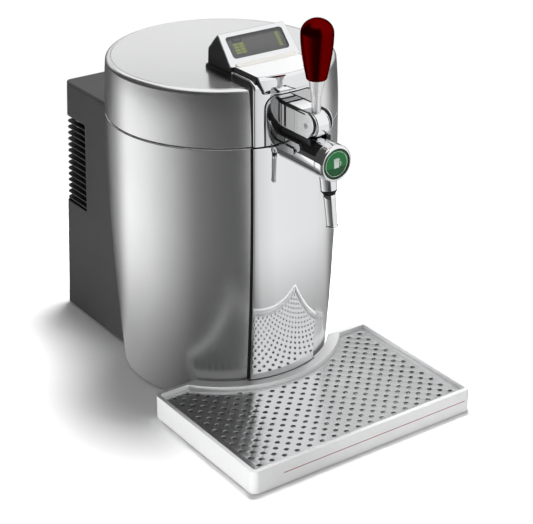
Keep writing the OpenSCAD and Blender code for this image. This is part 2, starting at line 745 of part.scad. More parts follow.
window_t = 1.5;
module display_window() color("#8f9294") at_drum() on_face()
    translate([0, 0, -frame_t + seat_gap / 2]) linear_extrude(window_t)
        face_window(window_face_w - 0.3, window_face_h - 0.3, 3.2);

lcd_t = 2;
module lcd_panel() color("#6f7a66") at_drum() on_face()
    translate([-face_pocket_w / 2 + move_gap, face_window_y - 1.7,
        -frame_t - seat_gap - lcd_t])
        cube([face_pocket_w - 2 * move_gap, window_face_h + 3.4, lcd_t]);

module display_board() color("darkgreen") at_drum() on_face()
    translate([-face_pocket_w / 2 + move_gap, face_window_y - 1.7,
        -frame_t - 2 * seat_gap - lcd_t - 1.6]) {
        cube([face_pocket_w - 2 * move_gap, window_face_h + 3.4, 1.6]);
        translate([8, 6, -3]) cube([10, 10, 4]);
        translate([34, 8, -3]) cube([16, 6, 4]);
    }

core_w = pocket_w - 0.6;
core_top_z = lid_top_z + nose_h - 1.5;
nose_r = column_r + 1.6;
nose_foot_z = pocket_z - 1.2;
cap_t = 1.2;
module before_display(gap) translate([-column_w, -2 * belly_r, 0])
    cube([2 * column_w, 2 * belly_r + display_y - gap, 2 * lid_top_z]);

module nose_core() color("#1c1c1c") at_drum() intersection() {
    revolve([[lid_rim_r + seat_gap + 0.4, pocket_z + seat_gap],
        [column_r + 0.1, pocket_z + seat_gap], [column_r + 0.1, core_top_z - 2],
        [column_r - 2, core_top_z], [well_r - 20, core_top_z],
        [well_r - 20, lid_top_z + seat_gap],
        for (p = arc([lid_rim_r - rim_round, rim_z], rim_round + seat_gap, 90, 8, 6)) p]);
    front_slab(core_w, 0, 2 * lid_top_z);
    before_display(seat_gap);
}

module nose_cap() color("gainsboro") at_drum() intersection() {
    revolve(concat(
        [[well_r - 20, core_top_z + seat_gap], [column_r - 2, core_top_z + seat_gap],
        [column_r + 0.1 + seat_gap, core_top_z - 2], [column_r + 0.1 + seat_gap, nose_foot_z],
        [nose_r - 0.6, nose_foot_z], [nose_r, nose_foot_z + 2]],
        [[nose_r, core_top_z - 3]],
        arc([nose_r - 2.8, core_top_z - 1.1], 2.8, 0, 90, 5),
        [[well_r - 20, core_top_z + 1.7]]));
    front_slab(nose_w, 0, 2 * lid_top_z);
    before_display(seat_gap);
}

// ---- Tap --------------------------------------------------------------------------

plate_r = column_r - 0.5;
plate_t = 2;
bracket_r = plate_r - plate_t - seat_gap;
bracket_depth = 6.8;
arch_top_z = seam_z + arch_h;
pivot_y = -(column_r + pivot_out);
pivot_z = seam_z + pivot_up;
arm_z = seam_z + 0.2;
block_top_z = pivot_z + hub_r + 0.5;
block_depth = 12;
block_foot_z = pivot_z - block_depth;
tap_screw_places = [for (x = [-9, 9], z = [pivot_z + 6, arm_z + 2.8]) [x, z]];
tap_screw_d = 4;

module tap_bracket() color("dimgray") at_drum() difference() {
    union() {
        intersection() {
            revolve([[bracket_r - bracket_depth, deck_top_z + seat_gap],
                [deck_out, deck_top_z + seat_gap], [deck_out, shell_top_z + seat_gap],
                [bracket_r, shell_top_z + seat_gap], [bracket_r, arch_top_z - 0.5],
                [bracket_r - bracket_depth, arch_top_z - 0.5]]);
            arch_block(arch_w - 1, deck_top_z, arch_top_z - 0.5, arch_round - 0.5);
        }
        // Foot on the deck
        intersection() {
            revolve([[liner_r + 9.6, deck_top_z + seat_gap],
                [bracket_r - bracket_depth + over, deck_top_z + seat_gap],
                [bracket_r - bracket_depth + over, deck_top_z + 2.6],
                [liner_r + 9.6, deck_top_z + 2.6]]);
            front_slab(44, 0, lid_top_z);
        }
    }
    // Passage for the beer line
    translate([-6, -2 * belly_r, arm_z - 0.2]) cube([12, 2 * belly_r, 20]);
    for (p = tap_screw_places) along_y(p[0], 0, p[1], tap_screw_d + 2 * seat_gap, 2 * belly_r);
}

module tap_plate() color("gainsboro") at_drum() difference() {
    intersection() {
        revolve([[plate_r - plate_t, seam_z], [plate_r, seam_z], [plate_r, lid_top_z],
            [plate_r - plate_t, lid_top_z]]);
        arch_block(arch_w, seam_z, arch_top_z, arch_round);
    }
    translate([-6, -2 * belly_r, arm_z - 8]) cube([12, 2 * belly_r, 20]);
    for (p = tap_screw_places) along_y(p[0], 0, p[1], tap_screw_d + 2 * seat_gap, 2 * belly_r);
}

// What the tap is fixed to: the plate, and the column below the seam
module column_solid(gap) {
    cylinder(h = 2 * lid_top_z, r = plate_r + gap);
    cylinder(h = seam_z - run_gap, r = column_r + gap);
}
// Room that the hub sweeps
module hub_room(gap) {
    along_x(pivot_y, pivot_z, 2 * (hub_r + gap), hub_w + 2 * gap);
    translate([-hub_w / 2 - gap, pivot_y - 2 * hub_r, pivot_z])
        cube([hub_w + 2 * gap, 2 * hub_r + stem_d / 2 + 5, 2 * hub_r]);
}
// Round front of the tap's upper block
cheek_r = 11.4;
function cheek_front(grow) =
    arc([pivot_y, block_top_z - cheek_r], cheek_r + grow, 90, 215, 10);
skin_t = 0.8;
inlay_t = (block_w - hub_w) / 2 - skin_t - move_gap;
gasket_y = -column_r - 4.1;
gasket_len = 1.4;

module tap_block() color("gainsboro") at_drum() difference() {
    side_plate(concat([[-column_r + 8, block_foot_z], [-column_r + 8, block_top_z]],
        cheek_front(0), [[pivot_y - 3, block_foot_z]]), block_w);
    hub_room(move_gap);
    // Recess of the black inlays, under the chrome cheeks
    both_sides() translate([hub_w / 2 + inlay_t / 2 + move_gap, 0, 0])
        side_plate(inlay_points(0), inlay_t + 2 * run_gap);
    // Groove of the gasket
    difference() {
        translate([-block_w, gasket_y - gasket_len, block_foot_z - over])
            cube([2 * block_w, gasket_len, 2 * hub_r + 20]);
        translate([-block_w / 2 + 1, gasket_y - 2 * gasket_len, block_foot_z - 2 * over])
            cube([block_w - 2, 4 * gasket_len, block_top_z - 1 - block_foot_z + 2 * over]);
    }
    along_x(pivot_y, pivot_z, lever_pin_d + 2 * run_gap, 2 * block_w);
    column_solid(seat_gap / 2);
    for (p = tap_screw_places) along_y(p[0], 0, p[1], tap_screw_d + run_gap, column_r + 7);
}
// Outline of an inlay, from behind the gasket round the cheek's front
function inlay_points(d) = concat(
    [[gasket_y - gasket_len - 1.5 - d, block_foot_z + 4 + d],
    [gasket_y - gasket_len - 1.5 - d, block_top_z + over - d]],
    cheek_front(over - d), [[pivot_y - 4, block_foot_z + 4 + d]]);

module tap_inlay() color("#111111") at_drum() difference() {
    both_sides() translate([hub_w / 2 + inlay_t / 2 + move_gap, 0, 0])
        side_plate(inlay_points(0.8), inlay_t - run_gap);
    along_x(pivot_y, pivot_z, lever_pin_d + 2 * run_gap, 2 * block_w);
}

module tap_gasket() color("black") at_drum() difference() {
    translate([-block_w / 2 - 0.5, gasket_y - gasket_len + run_gap, block_foot_z])
        cube([block_w + 1, gasket_len - 2 * run_gap, block_top_z + 0.5 - block_foot_z]);
    translate([-block_w / 2 + 1 - run_gap, gasket_y - 2 * gasket_len, block_foot_z - over])
        cube([block_w - 2 + 2 * run_gap, 4 * gasket_len,
            block_top_z - 1 - block_foot_z + over + run_gap]);
}

module tap_screws() color("silver") at_drum() for (p = tap_screw_places) {
    along_y(p[0], -bracket_r + bracket_depth + 2.4 + screw_sag, p[1], 7.5, 2.2);
    along_y(p[0], -bracket_r + bracket_depth + 2.4 + screw_sag, p[1], tap_screw_d, 16);
}
// The bracket's inner face lies further back at the screws than on the middle plane
screw_sag = bracket_r - bracket_depth
    - sqrt(pow(bracket_r - bracket_depth, 2) - pow(9 + 3.75, 2));

module lever_pin() color("silver") at_drum()
    along_x(pivot_y, pivot_z, lever_pin_d, block_w + 1);

stem_seat = 7.5;
module lever_hub() color("gainsboro") at_drum() difference() {
    along_x(pivot_y, pivot_z, 2 * hub_r, hub_w);
    along_x(pivot_y, pivot_z, lever_pin_d + 2 * run_gap, hub_w + 2 * over);
    translate([0, pivot_y, pivot_z + stem_seat])
        cylinder(h = hub_r, d = stem_d + 2 * run_gap);
}

module lever_stem() color("gainsboro") at_drum()
    translate([0, pivot_y, pivot_z + stem_seat]) cylinder(h = collar_up - stem_seat, d = stem_d);

collar_foot_d = stem_d + 1.2;
collar_top_d = handle_foot_d - 4;
stud_d = 6;
stud_len = 18;
module lever_collar() color("gainsboro") at_drum()
    translate([0, pivot_y, pivot_z + collar_up + run_gap]) {
        cylinder(h = collar_len, d1 = collar_foot_d, d2 = collar_top_d);
        cylinder(h = collar_len + stud_len, d = stud_d);
    }

handle_z = pivot_z + collar_up + collar_len + seat_gap;
dome_h = handle_d * 0.45;
module lever_handle() color("#6a0808") at_drum() translate([0, pivot_y, handle_z])
    difference() {
        revolve(concat([[0, 0], [handle_foot_d / 2 - 2, 0]],
            [[handle_foot_d / 2 - 0.6, 0.6], [handle_foot_d / 2, 2]],
            [for (t = span(0.1, 1, 7)) [handle_foot_d / 2
                + (handle_d - handle_foot_d) / 2 * sin(90 * t), 2 + t * (handle_len - dome_h - 2)]],
            [for (a = span(10, 90, 8)) [a == 90 ? 0 : handle_d / 2 * cos(a),
                handle_len - dome_h + dome_h * sin(a)]]));
        translate([0, 0, -over]) cylinder(h = stud_len + 2, d = stud_d + 2 * run_gap);
    }

plunger_d = 6;
plunger_head_d = 10;
module valve_plunger() color("white") at_drum() translate([0, pivot_y, arm_z - 4.5]) {
    cylinder(h = 3, d = plunger_head_d);
    cylinder(h = 17, d = plunger_d);
}
module plunger_bore() translate([0, pivot_y, arm_z])
    cylinder(h = arm_r + 30, d = plunger_d + 2 * run_gap);

arm_end_y = -(column_r + arm_len);
cap_y = arm_end_y - cap_len;
cover_up = 7.5;
cover_z = arm_z + cover_up;
spine_w = 15;
plateau_w = block_w + 2 * seat_gap;
plateau_len = 8;
// How far the arm reaches past the column's front, before it is cut round
root_in = 6;
module arm_round(r, y0, y1) translate([0, y0, arm_z]) rotate([90, 0, 0])
    cylinder(h = y0 - y1, r = r);

module arm_trough() color("gainsboro") at_drum() difference() {
    arm_round(arm_r, -column_r + root_in, arm_end_y);
    translate([-2 * arm_r, arm_end_y - over, cover_z]) cube([4 * arm_r, 2 * arm_len, arm_r]);
    arm_round(line_d / 2, -column_r + 10, arm_end_y - over);
    column_solid(seat_gap / 2);
    both_sides() shoulder_cut(seat_gap / 2);
    spout_frame() translate([0, 0, -spout_drop - arm_r]) cylinder(h = 3 * arm_r, d = spout_bore_d);
    plunger_bore();
    for (p = tap_screw_places) along_y(p[0], 0, p[1], tap_screw_d + run_gap, column_r + 7);
}

module arm_cover() color("#151515") at_drum() difference() {
    union() {
        intersection() {
            arm_round(arm_r - 0.5, -column_r + root_in, arm_end_y);
            translate([-2 * arm_r, arm_end_y - over, cover_z + run_gap])
                cube([4 * arm_r, 2 * arm_len, arm_r]);
        }
        translate([-plateau_w / 2, pivot_y - plateau_len, cover_z + run_gap])
            cube([plateau_w, -pivot_y + plateau_len - column_r + root_in,
                block_foot_z - cover_z - 3 * run_gap]);
    }
    hub_room(move_gap);
    plunger_bore();
    arm_round(line_d / 2, -column_r + 10, arm_end_y - over);
    column_solid(seat_gap / 2);
    both_sides() shoulder_cut(seat_gap / 2);
    // Room for the chrome spine that runs back from the end cap
    translate([-spine_w / 2 - seat_gap, arm_end_y - over, cover_z - over])
        cube([spine_w + 2 * seat_gap, spine_len + over + seat_gap, 2 * arm_r]);
}

shoulder_z = arm_z + 3.5;
shoulder_h = 8.8;
shoulder_w = 6;
shoulder_len = 38;
shoulder_x = 12.2;
module shoulder_cut(gap) translate([shoulder_x - gap, -column_r - shoulder_len - gap,
    shoulder_z - gap])
    cube([3 * shoulder_w, shoulder_len + 20, shoulder_h + 2 * gap]);

module shoulder_bars() color("#2a2a2a") at_drum() difference() {
    both_sides() {
        translate([shoulder_x, -column_r - shoulder_len + shoulder_h / 2, shoulder_z])
            cube([shoulder_w, shoulder_len + 4 - shoulder_h / 2, shoulder_h]);
        translate([shoulder_x, -column_r - shoulder_len + shoulder_h / 2,
            shoulder_z + shoulder_h / 2]) rotate([0, 90, 0])
            cylinder(h = shoulder_w, d = shoulder_h);
    }
    column_solid(seat_gap / 2);
}

plate_len = 27;
module side_plates() color("gainsboro") at_drum() difference() {
    both_sides() translate([arm_r + seat_gap / 2, -column_r - plate_len, arm_z - 1])
        rotate([0, 90, 0]) translate([-3.4, 0, 0]) rotate([0, 0, 90])
            translate([0, -3.4, 0]) linear_extrude(1.4) union() {
                square([plate_len + 4, 6.8]);
                translate([0, 3.4]) circle(d = 6.8);
            }
    column_solid(seat_gap / 2);
}

spine_len = 26;
badge_in = 2.2;
module end_cap() color("gainsboro") at_drum() difference() {
    union() {
        translate([0, arm_end_y - seat_gap / 2, arm_z]) rotate([90, 0, 0]) revolve(concat(
            [[0, 0], [arm_r, 0], [arm_r + 0.2, 0.6], [arm_r + 0.2, cap_len - 3]],
            arc([arm_r - 2.8, cap_len - 3], 3, 10, 80, 5),
            [[badge_d / 2 + 0.9, cap_len], [badge_d / 2 + 0.5, cap_len - 0.4],
            [badge_d / 2 + 0.3, cap_len - badge_in], [0, cap_len - badge_in]]));
        // Spine on top of the arm
        intersection() {
            arm_round(arm_r + 0.1, arm_end_y + spine_len, arm_end_y - 2);
            translate([-spine_w / 2, arm_end_y - 2, cover_z + 2 * run_gap])
                cube([spine_w, spine_len + 2, arm_r]);
        }
    }
    hub_room(move_gap);
    plunger_bore();
    arm_round(line_d / 2, -column_r + 10, arm_end_y - 1);
    spout_frame() translate([0, 0, -spout_drop - arm_r]) cylinder(h = 2 * arm_r, d = spout_bore_d);
}

module badge_disc() color("#1e8a4a") at_drum() translate([0, cap_y - seat_gap / 2, arm_z])
    rotate([90, 0, 0]) translate([0, 0, -badge_in + seat_gap / 2])
        cylinder(h = badge_in - 0.5, d = badge_d);

// The spout's own frame: local Z runs up its leaning axis from the seal's top face
spout_y = arm_end_y - 0.8;
spout_drop = 0;
spout_top_z = arm_z - 31.4;
socket_d = 18.5;
socket_foot_d = 17;
spout_bore_d = 9.2;
seal_h = 5;
module spout_frame() translate([0, spout_y, spout_top_z]) rotate([-spout_tilt, 0, 0])
    children();

module spout_socket() color("gainsboro") at_drum() difference() {
    spout_frame() cylinder(h = 26, d1 = socket_foot_d, d2 = socket_d + 1);
    spout_frame() translate([0, 0, -over]) cylinder(h = 40, d = spout_bore_d);
    arm_round(arm_r + 0.25, -column_r, cap_y + cap_len / 3);
    arm_round(arm_r + 0.45, arm_end_y + 1, cap_y + 0.2);
}

module spout_seal() color("black") at_drum() spout_frame() difference() {
    translate([0, 0, -seal_h]) cylinder(h = seal_h - run_gap, d1 = 11.6, d2 = socket_foot_d);
    translate([0, 0, -seal_h - over]) cylinder(h = seal_h + 2 * over, d = spout_bore_d);
}

spout_bore = 7;
nozzle_len = 2.6;
module spout_tube() color("gainsboro") at_drum() spout_frame() difference() {
    union() {
        translate([0, 0, -seal_h - run_gap - spout_len])
            cylinder(h = spout_len, d1 = spout_d - 1.4, d2 = spout_d);
        translate([0, 0, -seal_h - over]) cylinder(h = seal_h + 8, d = spout_bore_d - 0.1);
        translate([0, 0, -seal_h - spout_len - 1.4]) cylinder(h = 1.6, d = spout_d - 0.2);
        translate([0, 0, -seal_h - spout_len - nozzle_len]) cylinder(h = 3, d = spout_bore + 1.4);
    }
    translate([0, 0, -seal_h - spout_len - nozzle_len - over])
        cylinder(h = spout_len + seal_h + 20, d = spout_bore);
}

// ---- Drip tray --------------------------------------------------------------------

tray_z = 0.8;
tray_wall = 3;
tray_floor = 4;
grid_z = tray_h - grid_drop - grid_t;
seat_w = 4;
tray_arc_r = shell_r(tray_h) + 2.6;
column_room_r = column_r_at(column_foot_z) + move_gap;
// The tray's plan: a rounded rectangle, drawn in by inset, with a bay for the drum of
// radius bay_r and a shallower one for the column
module tray_plan(inset, bay_r, bay_column_r) difference() {
    rounded_rect(tray_w - 2 * inset, -tray_front + inset, -tray_back - inset,
        max(1, tray_round - inset));
    circle(r = bay_r);
    intersection() {
        circle(r = bay_column_r);
        translate([-column_w / 2 - gasket_side - inset, -2 * belly_r])
            square([column_w + 2 * gasket_side + 2 * inset, 2 * belly_r]);
    }
}
grid_arc_r = tray_arc_r + ledge_w;

module tray_pan() color("#d8d9da") at_drum() difference() {
    translate([0, 0, tray_z]) linear_extrude(tray_h - tray_z)
        tray_plan(0, tray_arc_r, column_room_r);
    translate([0, 0, tray_z + tray_floor])
        linear_extrude(grid_z - seat_gap - 2 - tray_z - tray_floor)
        tray_plan(tray_wall, tray_arc_r + tray_wall, column_room_r + tray_wall);
    translate([0, 0, tray_z + tray_floor + over]) linear_extrude(tray_h)
        tray_plan(rim_w + seat_w, grid_arc_r + seat_w, grid_arc_r + seat_w);
    translate([0, 0, grid_z - seat_gap]) linear_extrude(tray_h)
        tray_plan(rim_w, grid_arc_r, grid_arc_r);
    for (p = tray_feet_places) translate([p[0], p[1], 0])
        cylinder(h = tray_z + 2 + seat_gap, d = tray_foot_d + 2 * seat_gap);
}

tray_foot_d = 14;
tray_feet_places = [[-tray_w / 2 + 16, -tray_front + 16], [tray_w / 2 - 16, -tray_front + 16],
    [-tray_w / 2 + 16, -tray_back - 16], [tray_w / 2 - 16, -tray_back - 16]];
module tray_feet() color("black") at_drum() for (p = tray_feet_places)
    translate([p[0], p[1], 0]) cylinder(h = tray_z + 2, d = tray_foot_d);

// Drain holes: square rows with one more hole in the middle of each square
holes_x = floor((tray_w / 2 - rim_w - 10) / hole_pitch);
holes_y = floor((tray_front - tray_back - 2 * rim_w - 14) / hole_pitch);
holes_mid_y = -(tray_front + tray_back) / 2 + 0.7;
function hole_places(shift) = [for (i = [-holes_x:holes_x - shift], j = [0:holes_y - shift])
    let (x = (i + shift / 2) * hole_pitch,
        y = holes_mid_y + (j - holes_y / 2 + shift / 2) * hole_pitch)
    if (sqrt(x * x + y * y) > grid_arc_r + hole_d) [x, y]];

module tray_grid() color("#8d8f91") at_drum() translate([0, 0, grid_z]) linear_extrude(grid_t)
    difference() {
        tray_plan(rim_w + seat_gap, grid_arc_r + seat_gap, grid_arc_r + seat_gap);
        for (p = concat(hole_places(0), hole_places(1))) translate(p) circle(d = hole_d);
    }

base_pan();
rubber_feet();
outer_shell();
column_panel();
column_gasket();
keg_well();
well_insulation();
deck();
cold_block();
peltier_module();
heat_sink();
fan_frame();
fan_rotor();
rear_housing();
control_board();
power_supply();
power_inlet();
power_switch();
case_screws();
hinge_bracket();
hinge_pin();
tap_bracket();
tap_plate();
tap_gasket();
tap_block();
tap_inlay();
tap_screws();
lever_pin();
lever_hub();
lever_stem();
lever_collar();
lever_handle();
valve_plunger();
arm_trough();
arm_cover();
side_plates();
shoulder_bars();
end_cap();
badge_disc();
spout_socket();
spout_seal();
spout_tube();
lid_ring();
lid_top();
lid_column();
lid_liner();
lid_foam();
lid_seal();
lid_knuckle();
head_housing();
head_frame();
nose_core();
nose_cap();
display_window();
lcd_panel();
display_board();
tray_pan();
tray_feet();
tray_grid();
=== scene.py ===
from math import acos, asin, atan2, ceil, cos, degrees, hypot, pi, radians, sin, sqrt, tan

import bmesh
import bpy
from mathutils import Matrix, Vector


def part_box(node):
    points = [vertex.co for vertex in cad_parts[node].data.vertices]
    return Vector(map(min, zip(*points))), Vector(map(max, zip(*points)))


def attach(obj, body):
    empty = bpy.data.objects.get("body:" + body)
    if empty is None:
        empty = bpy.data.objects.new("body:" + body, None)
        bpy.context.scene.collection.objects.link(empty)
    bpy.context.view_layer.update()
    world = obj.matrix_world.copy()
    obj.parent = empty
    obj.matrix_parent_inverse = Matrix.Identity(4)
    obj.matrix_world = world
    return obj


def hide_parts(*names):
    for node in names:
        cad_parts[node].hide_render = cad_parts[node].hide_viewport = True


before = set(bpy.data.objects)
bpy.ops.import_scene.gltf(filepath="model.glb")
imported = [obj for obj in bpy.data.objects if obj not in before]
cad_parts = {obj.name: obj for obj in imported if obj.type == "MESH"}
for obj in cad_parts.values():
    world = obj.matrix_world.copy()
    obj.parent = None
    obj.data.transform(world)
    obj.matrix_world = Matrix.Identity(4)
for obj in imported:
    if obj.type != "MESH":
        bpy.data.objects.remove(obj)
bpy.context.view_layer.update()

scene = bpy.context.scene
scene.view_settings.view_transform = "Standard"


# ---- Camera -----------------------------------------------------------------------
# A long lens that looks down on the dispenser from its front left.  It keeps its place
# about the drum's axis, which is taken from the shell.
shell_low, shell_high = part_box("outer_shell")
DRUM_Y = (shell_low.y + shell_high.y) / 2
AIM = Vector((0.0591, DRUM_Y, 0.0968))
CAMERA_AZIMUTH = radians(-35.19)
CAMERA_ELEVATION = radians(25.92)
CAMERA_DISTANCE = 1.7987
FOCAL_PIXELS = 1562.5
IMAGE_WIDTH = 533

towards_camera = Vector((
    sin(CAMERA_AZIMUTH) * cos(CAMERA_ELEVATION),
    -cos(CAMERA_AZIMUTH) * cos(CAMERA_ELEVATION),
    sin(CAMERA_ELEVATION)))
camera_data = bpy.data.cameras.new("camera")
camera_data.sensor_width = 36
camera_data.lens = camera_data.sensor_width * FOCAL_PIXELS / IMAGE_WIDTH
camera_data.clip_end = 20
camera = bpy.data.objects.new("camera", camera_data)
camera.location = AIM + CAMERA_DISTANCE * towards_camera
camera.rotation_euler = (-towards_camera).to_track_quat("-Z", "Y").to_euler()
scene.collection.objects.link(camera)
scene.camera = camera


# ---- Base plate and rubber feet ---------------------------------------------------
# A moulded plate closes the drum and the housing from below.  Four soft black feet are
# pushed into it and carry the cabinet.
def add_node(tree, kind, inputs, **settings):
    """A new shader node, whose inputs are each set to a value or fed by a socket."""
    node = tree.nodes.new(kind)
    for setting, value in settings.items():
        setattr(node, setting, value)
    for name, value in inputs.items():
        if isinstance(value, bpy.types.NodeSocket):
            tree.links.new(value, node.inputs[name])
        else:
            node.inputs[name].default_value = value
    return node


class Finish:
    """A surface finish: one Principled shader with its grain in object coordinates."""

    def __init__(self, name, colour, metallic=0.0, **sockets):
        self.material = bpy.data.materials.new(name)
        self.material.use_nodes = True
        self.tree = self.material.node_tree
        self.shader = self.tree.nodes["Principled BSDF"]
        self.colour = colour
        self.place = add_node(self.tree, "ShaderNodeTexCoord", {}).outputs["Object"]
        self.shader.inputs["Base Color"].default_value = (*colour, 1)
        self.shader.inputs["Metallic"].default_value = metallic
        for socket, value in sockets.items():
            self.shader.inputs[socket.replace("_", " ")].default_value = value

    def feed(self, socket, value):
        self.tree.links.new(value, self.shader.inputs[socket])

    def grain(self, per_metre, stretch=(1, 1, 1), detail=3.0):
        """Noise of that many grains a metre, each drawn out along stretch."""
        mapping = add_node(self.tree, "ShaderNodeMapping", {
            "Vector": self.place, "Scale": [1 / s for s in stretch]})
        noise = add_node(self.tree, "ShaderNodeTexNoise", {
            "Vector": mapping.outputs["Vector"], "Scale": per_metre, "Detail": detail})
        return noise.outputs["Fac"]

    def spread(self, low, high, *grain, **detail):
        """A grain, with the middle of its range mapped onto low to high."""
        ramp = add_node(self.tree, "ShaderNodeMapRange", {
            "Value": self.grain(*grain, **detail), "From Min": 0.3, "From Max": 0.7,
            "To Min": low, "To Max": high})
        return ramp.outputs["Result"]

    def rough(self, low, high, *grain):
        self.feed("Roughness", self.spread(low, high, *grain))

    def tint(self, other, *grain, **detail):
        """Lets the colour drift towards another one."""
        mix = add_node(self.tree, "ShaderNodeMix", {
            "Factor": self.spread(0, 1, *grain, **detail), "A": (*self.colour, 1),
            "B": (*other, 1)}, data_type="RGBA")
        self.feed("Base Color", mix.outputs["Result"])

    def bump(self, height, strength, *grain, **detail):
        """Relief of that height in metres."""
        bump = add_node(self.tree, "ShaderNodeBump", {
            "Height": self.grain(*grain, **detail), "Distance": height, "Strength": strength})
        self.feed("Normal", bump.outputs["Normal"])


def even_normals(obj):
    """Smooth shading in which large faces keep their own direction."""
    obj.data.shade_smooth()
    weighted = obj.modifiers.new("normals", "WEIGHTED_NORMAL")
    weighted.keep_sharp = True
    weighted.weight = 80


def round_edges(obj, width, segments=2):
    bevel = obj.modifiers.new("edges", "BEVEL")
    bevel.width = width
    bevel.segments = segments
    bevel.limit_method = "ANGLE"
    bevel.angle_limit = radians(38)


def dress(node, finish, edge=0.0003):
    """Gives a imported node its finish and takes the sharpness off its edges."""
    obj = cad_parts[node]
    obj.data.materials.clear()
    obj.data.materials.append(finish.material)
    weld = obj.modifiers.new("weld", "WELD")
    weld.merge_threshold = 0.00001
    if edge:
        round_edges(obj, edge)
    even_normals(obj)


dark_case = Finish("dark_case_plastic", (0.04, 0.04, 0.042), Specular_IOR_Level=0.3)
dark_case.rough(0.4, 0.55, 900)
dark_case.tint((0.046, 0.046, 0.048), 9)
dark_case.bump(0.00004, 0.5, 2600, detail=2)
rubber = Finish("black_rubber", (0.01, 0.01, 0.01), Specular_IOR_Level=0.2)
rubber.rough(0.6, 0.85, 700)
rubber.bump(0.00005, 0.4, 1800)
dress("base_pan", dark_case)
dress("rubber_feet", rubber, 0.0008)


# ---- Keg well, foam and deck ------------------------------------------------------
# The well is a drawn aluminium cup.  Poured foam fills the room round it, and a white
# moulded deck rests on its flange and closes the drum's mouth.
aluminium = Finish("drawn_aluminium", (0.7, 0.71, 0.72), 1.0)
aluminium.rough(0.24, 0.38, 60, (1, 1, 12))
aluminium.bump(0.00003, 0.3, 500, (1, 1, 20))
foam = Finish("insulating_foam", (0.72, 0.66, 0.46))
foam.rough(0.8, 0.95, 400)
foam.tint((0.62, 0.55, 0.36), 140, detail=6)
foam.bump(0.0004, 0.7, 800, detail=6)
white_plastic = Finish("white_liner_plastic", (0.8, 0.8, 0.78))
white_plastic.rough(0.34, 0.46, 500)
white_plastic.bump(0.00003, 0.3, 1500)
dress("keg_well", aluminium)
dress("well_insulation", foam, 0)
dress("deck", white_plastic, 0.0006)


# ---- Cold block, cooling module, heat sink and fan --------------------------------
# A block of aluminium carries the cold side's heat to a ceramic cooling module.  Its hot
# side sits on a finned heat sink, and a box fan blows through the fins.
ceramic = Finish("white_ceramic", (0.82, 0.81, 0.78))
ceramic.rough(0.3, 0.5, 600)
ceramic.bump(0.00002, 0.4, 1200)
black_plastic = Finish("gloss_black_plastic", (0.01, 0.01, 0.011), Specular_IOR_Level=0.32)
black_plastic.rough(0.16, 0.26, 300)
black_plastic.bump(0.00001, 0.3, 900)
dress("cold_block", aluminium)
dress("peltier_module", ceramic)
dress("heat_sink", aluminium, 0)
dress("fan_frame", dark_case)
dress("fan_rotor", black_plastic)


# ---- Control board and power supply -----------------------------------------------
# A green circuit board with its relays and capacitors stands on the base plate beside
# the power supply in its sheet steel can.
solder_mask = Finish("green_solder_mask", (0.012, 0.09, 0.035), Coat_Weight=0.4)
solder_mask.rough(0.3, 0.5, 1400)
solder_mask.tint((0.02, 0.13, 0.05), 260, (1, 1, 4))
solder_mask.bump(0.00006, 0.6, 900, (1, 1, 6))
steel = Finish("zinc_plated_steel", (0.6, 0.6, 0.61), 1.0)
steel.rough(0.22, 0.4, 180, (6, 1, 1))
steel.bump(0.00002, 0.3, 900, (8, 1, 1))
dress("control_board", solder_mask)
dress("power_supply", steel)


# ---- Drum shell -------------------------------------------------------------------
# One sheet of steel, rolled and drawn in towards the foot, with a satin silver lacquer.
# Both of its edges are hemmed round, and it is open behind, where the housing stands.
def span(a, b, count):
    return [a + (b - a) * i / count for i in range(count + 1)]


def arc(centre, radius, start, end, count=6):
    """Points on an arc, with its angles in degrees."""
    return [(centre[0] + radius * cos(radians(a)), centre[1] + radius * sin(radians(a)))
            for a in span(start, end, count)]


def lathe(outline, steps=180):
    """A closed outline of (radius, height) points, turned about an upright axis."""
    bm = bmesh.new()
    turns = [2 * pi * i / steps for i in range(steps)]
    rings = [[bm.verts.new((r * sin(t), -r * cos(t), z)) for r, z in outline] for t in turns]
    for i, ring in enumerate(rings):
        after = rings[(i + 1) % steps]
        for j in range(len(outline)):
            k = (j + 1) % len(outline)
            bm.faces.new((ring[j], after[j], after[k], ring[k]))
    bmesh.ops.remove_doubles(bm, verts=bm.verts, dist=1e-7)
    return bm


def sides(bm, rings):
    """Faces between closed rings of as many verts."""
    for near, far in zip(rings, rings[1:]):
        for j in range(len(near)):
            k = (j + 1) % len(near)
            bm.faces.new((near[j], near[k], far[k], far[j]))


def prism(outline, low, high, upright="z"):
    """A flat outline pushed along an axis: (x, y) along z, (x, z) along y, (y, z) along x."""
    place = {"z": lambda u, v, w: (u, v, w), "y": lambda u, v, w: (u, w, v),
             "x": lambda u, v, w: (w, u, v)}[upright]
    bm = bmesh.new()
    ends = [[bm.verts.new(place(u, v, w)) for u, v in outline] for w in (low, high)]
    for ring in ends:
        bm.faces.new(ring)
    sides(bm, ends)
    return bm


def block(x, y, z):
    """A plain cutting block between two values on each axis."""
    return prism([(x[0], y[0]), (x[1], y[0]), (x[1], y[1]), (x[0], y[1])], *z)


def loose(bm):
    """An object that only lasts while a solid is cut."""
    bmesh.ops.recalc_face_normals(bm, faces=bm.faces)
    mesh = bpy.data.meshes.new("loose")
    bm.to_mesh(mesh)
    bm.free()
    obj = bpy.data.objects.new("loose", mesh)
    scene.collection.objects.link(obj)
    return obj


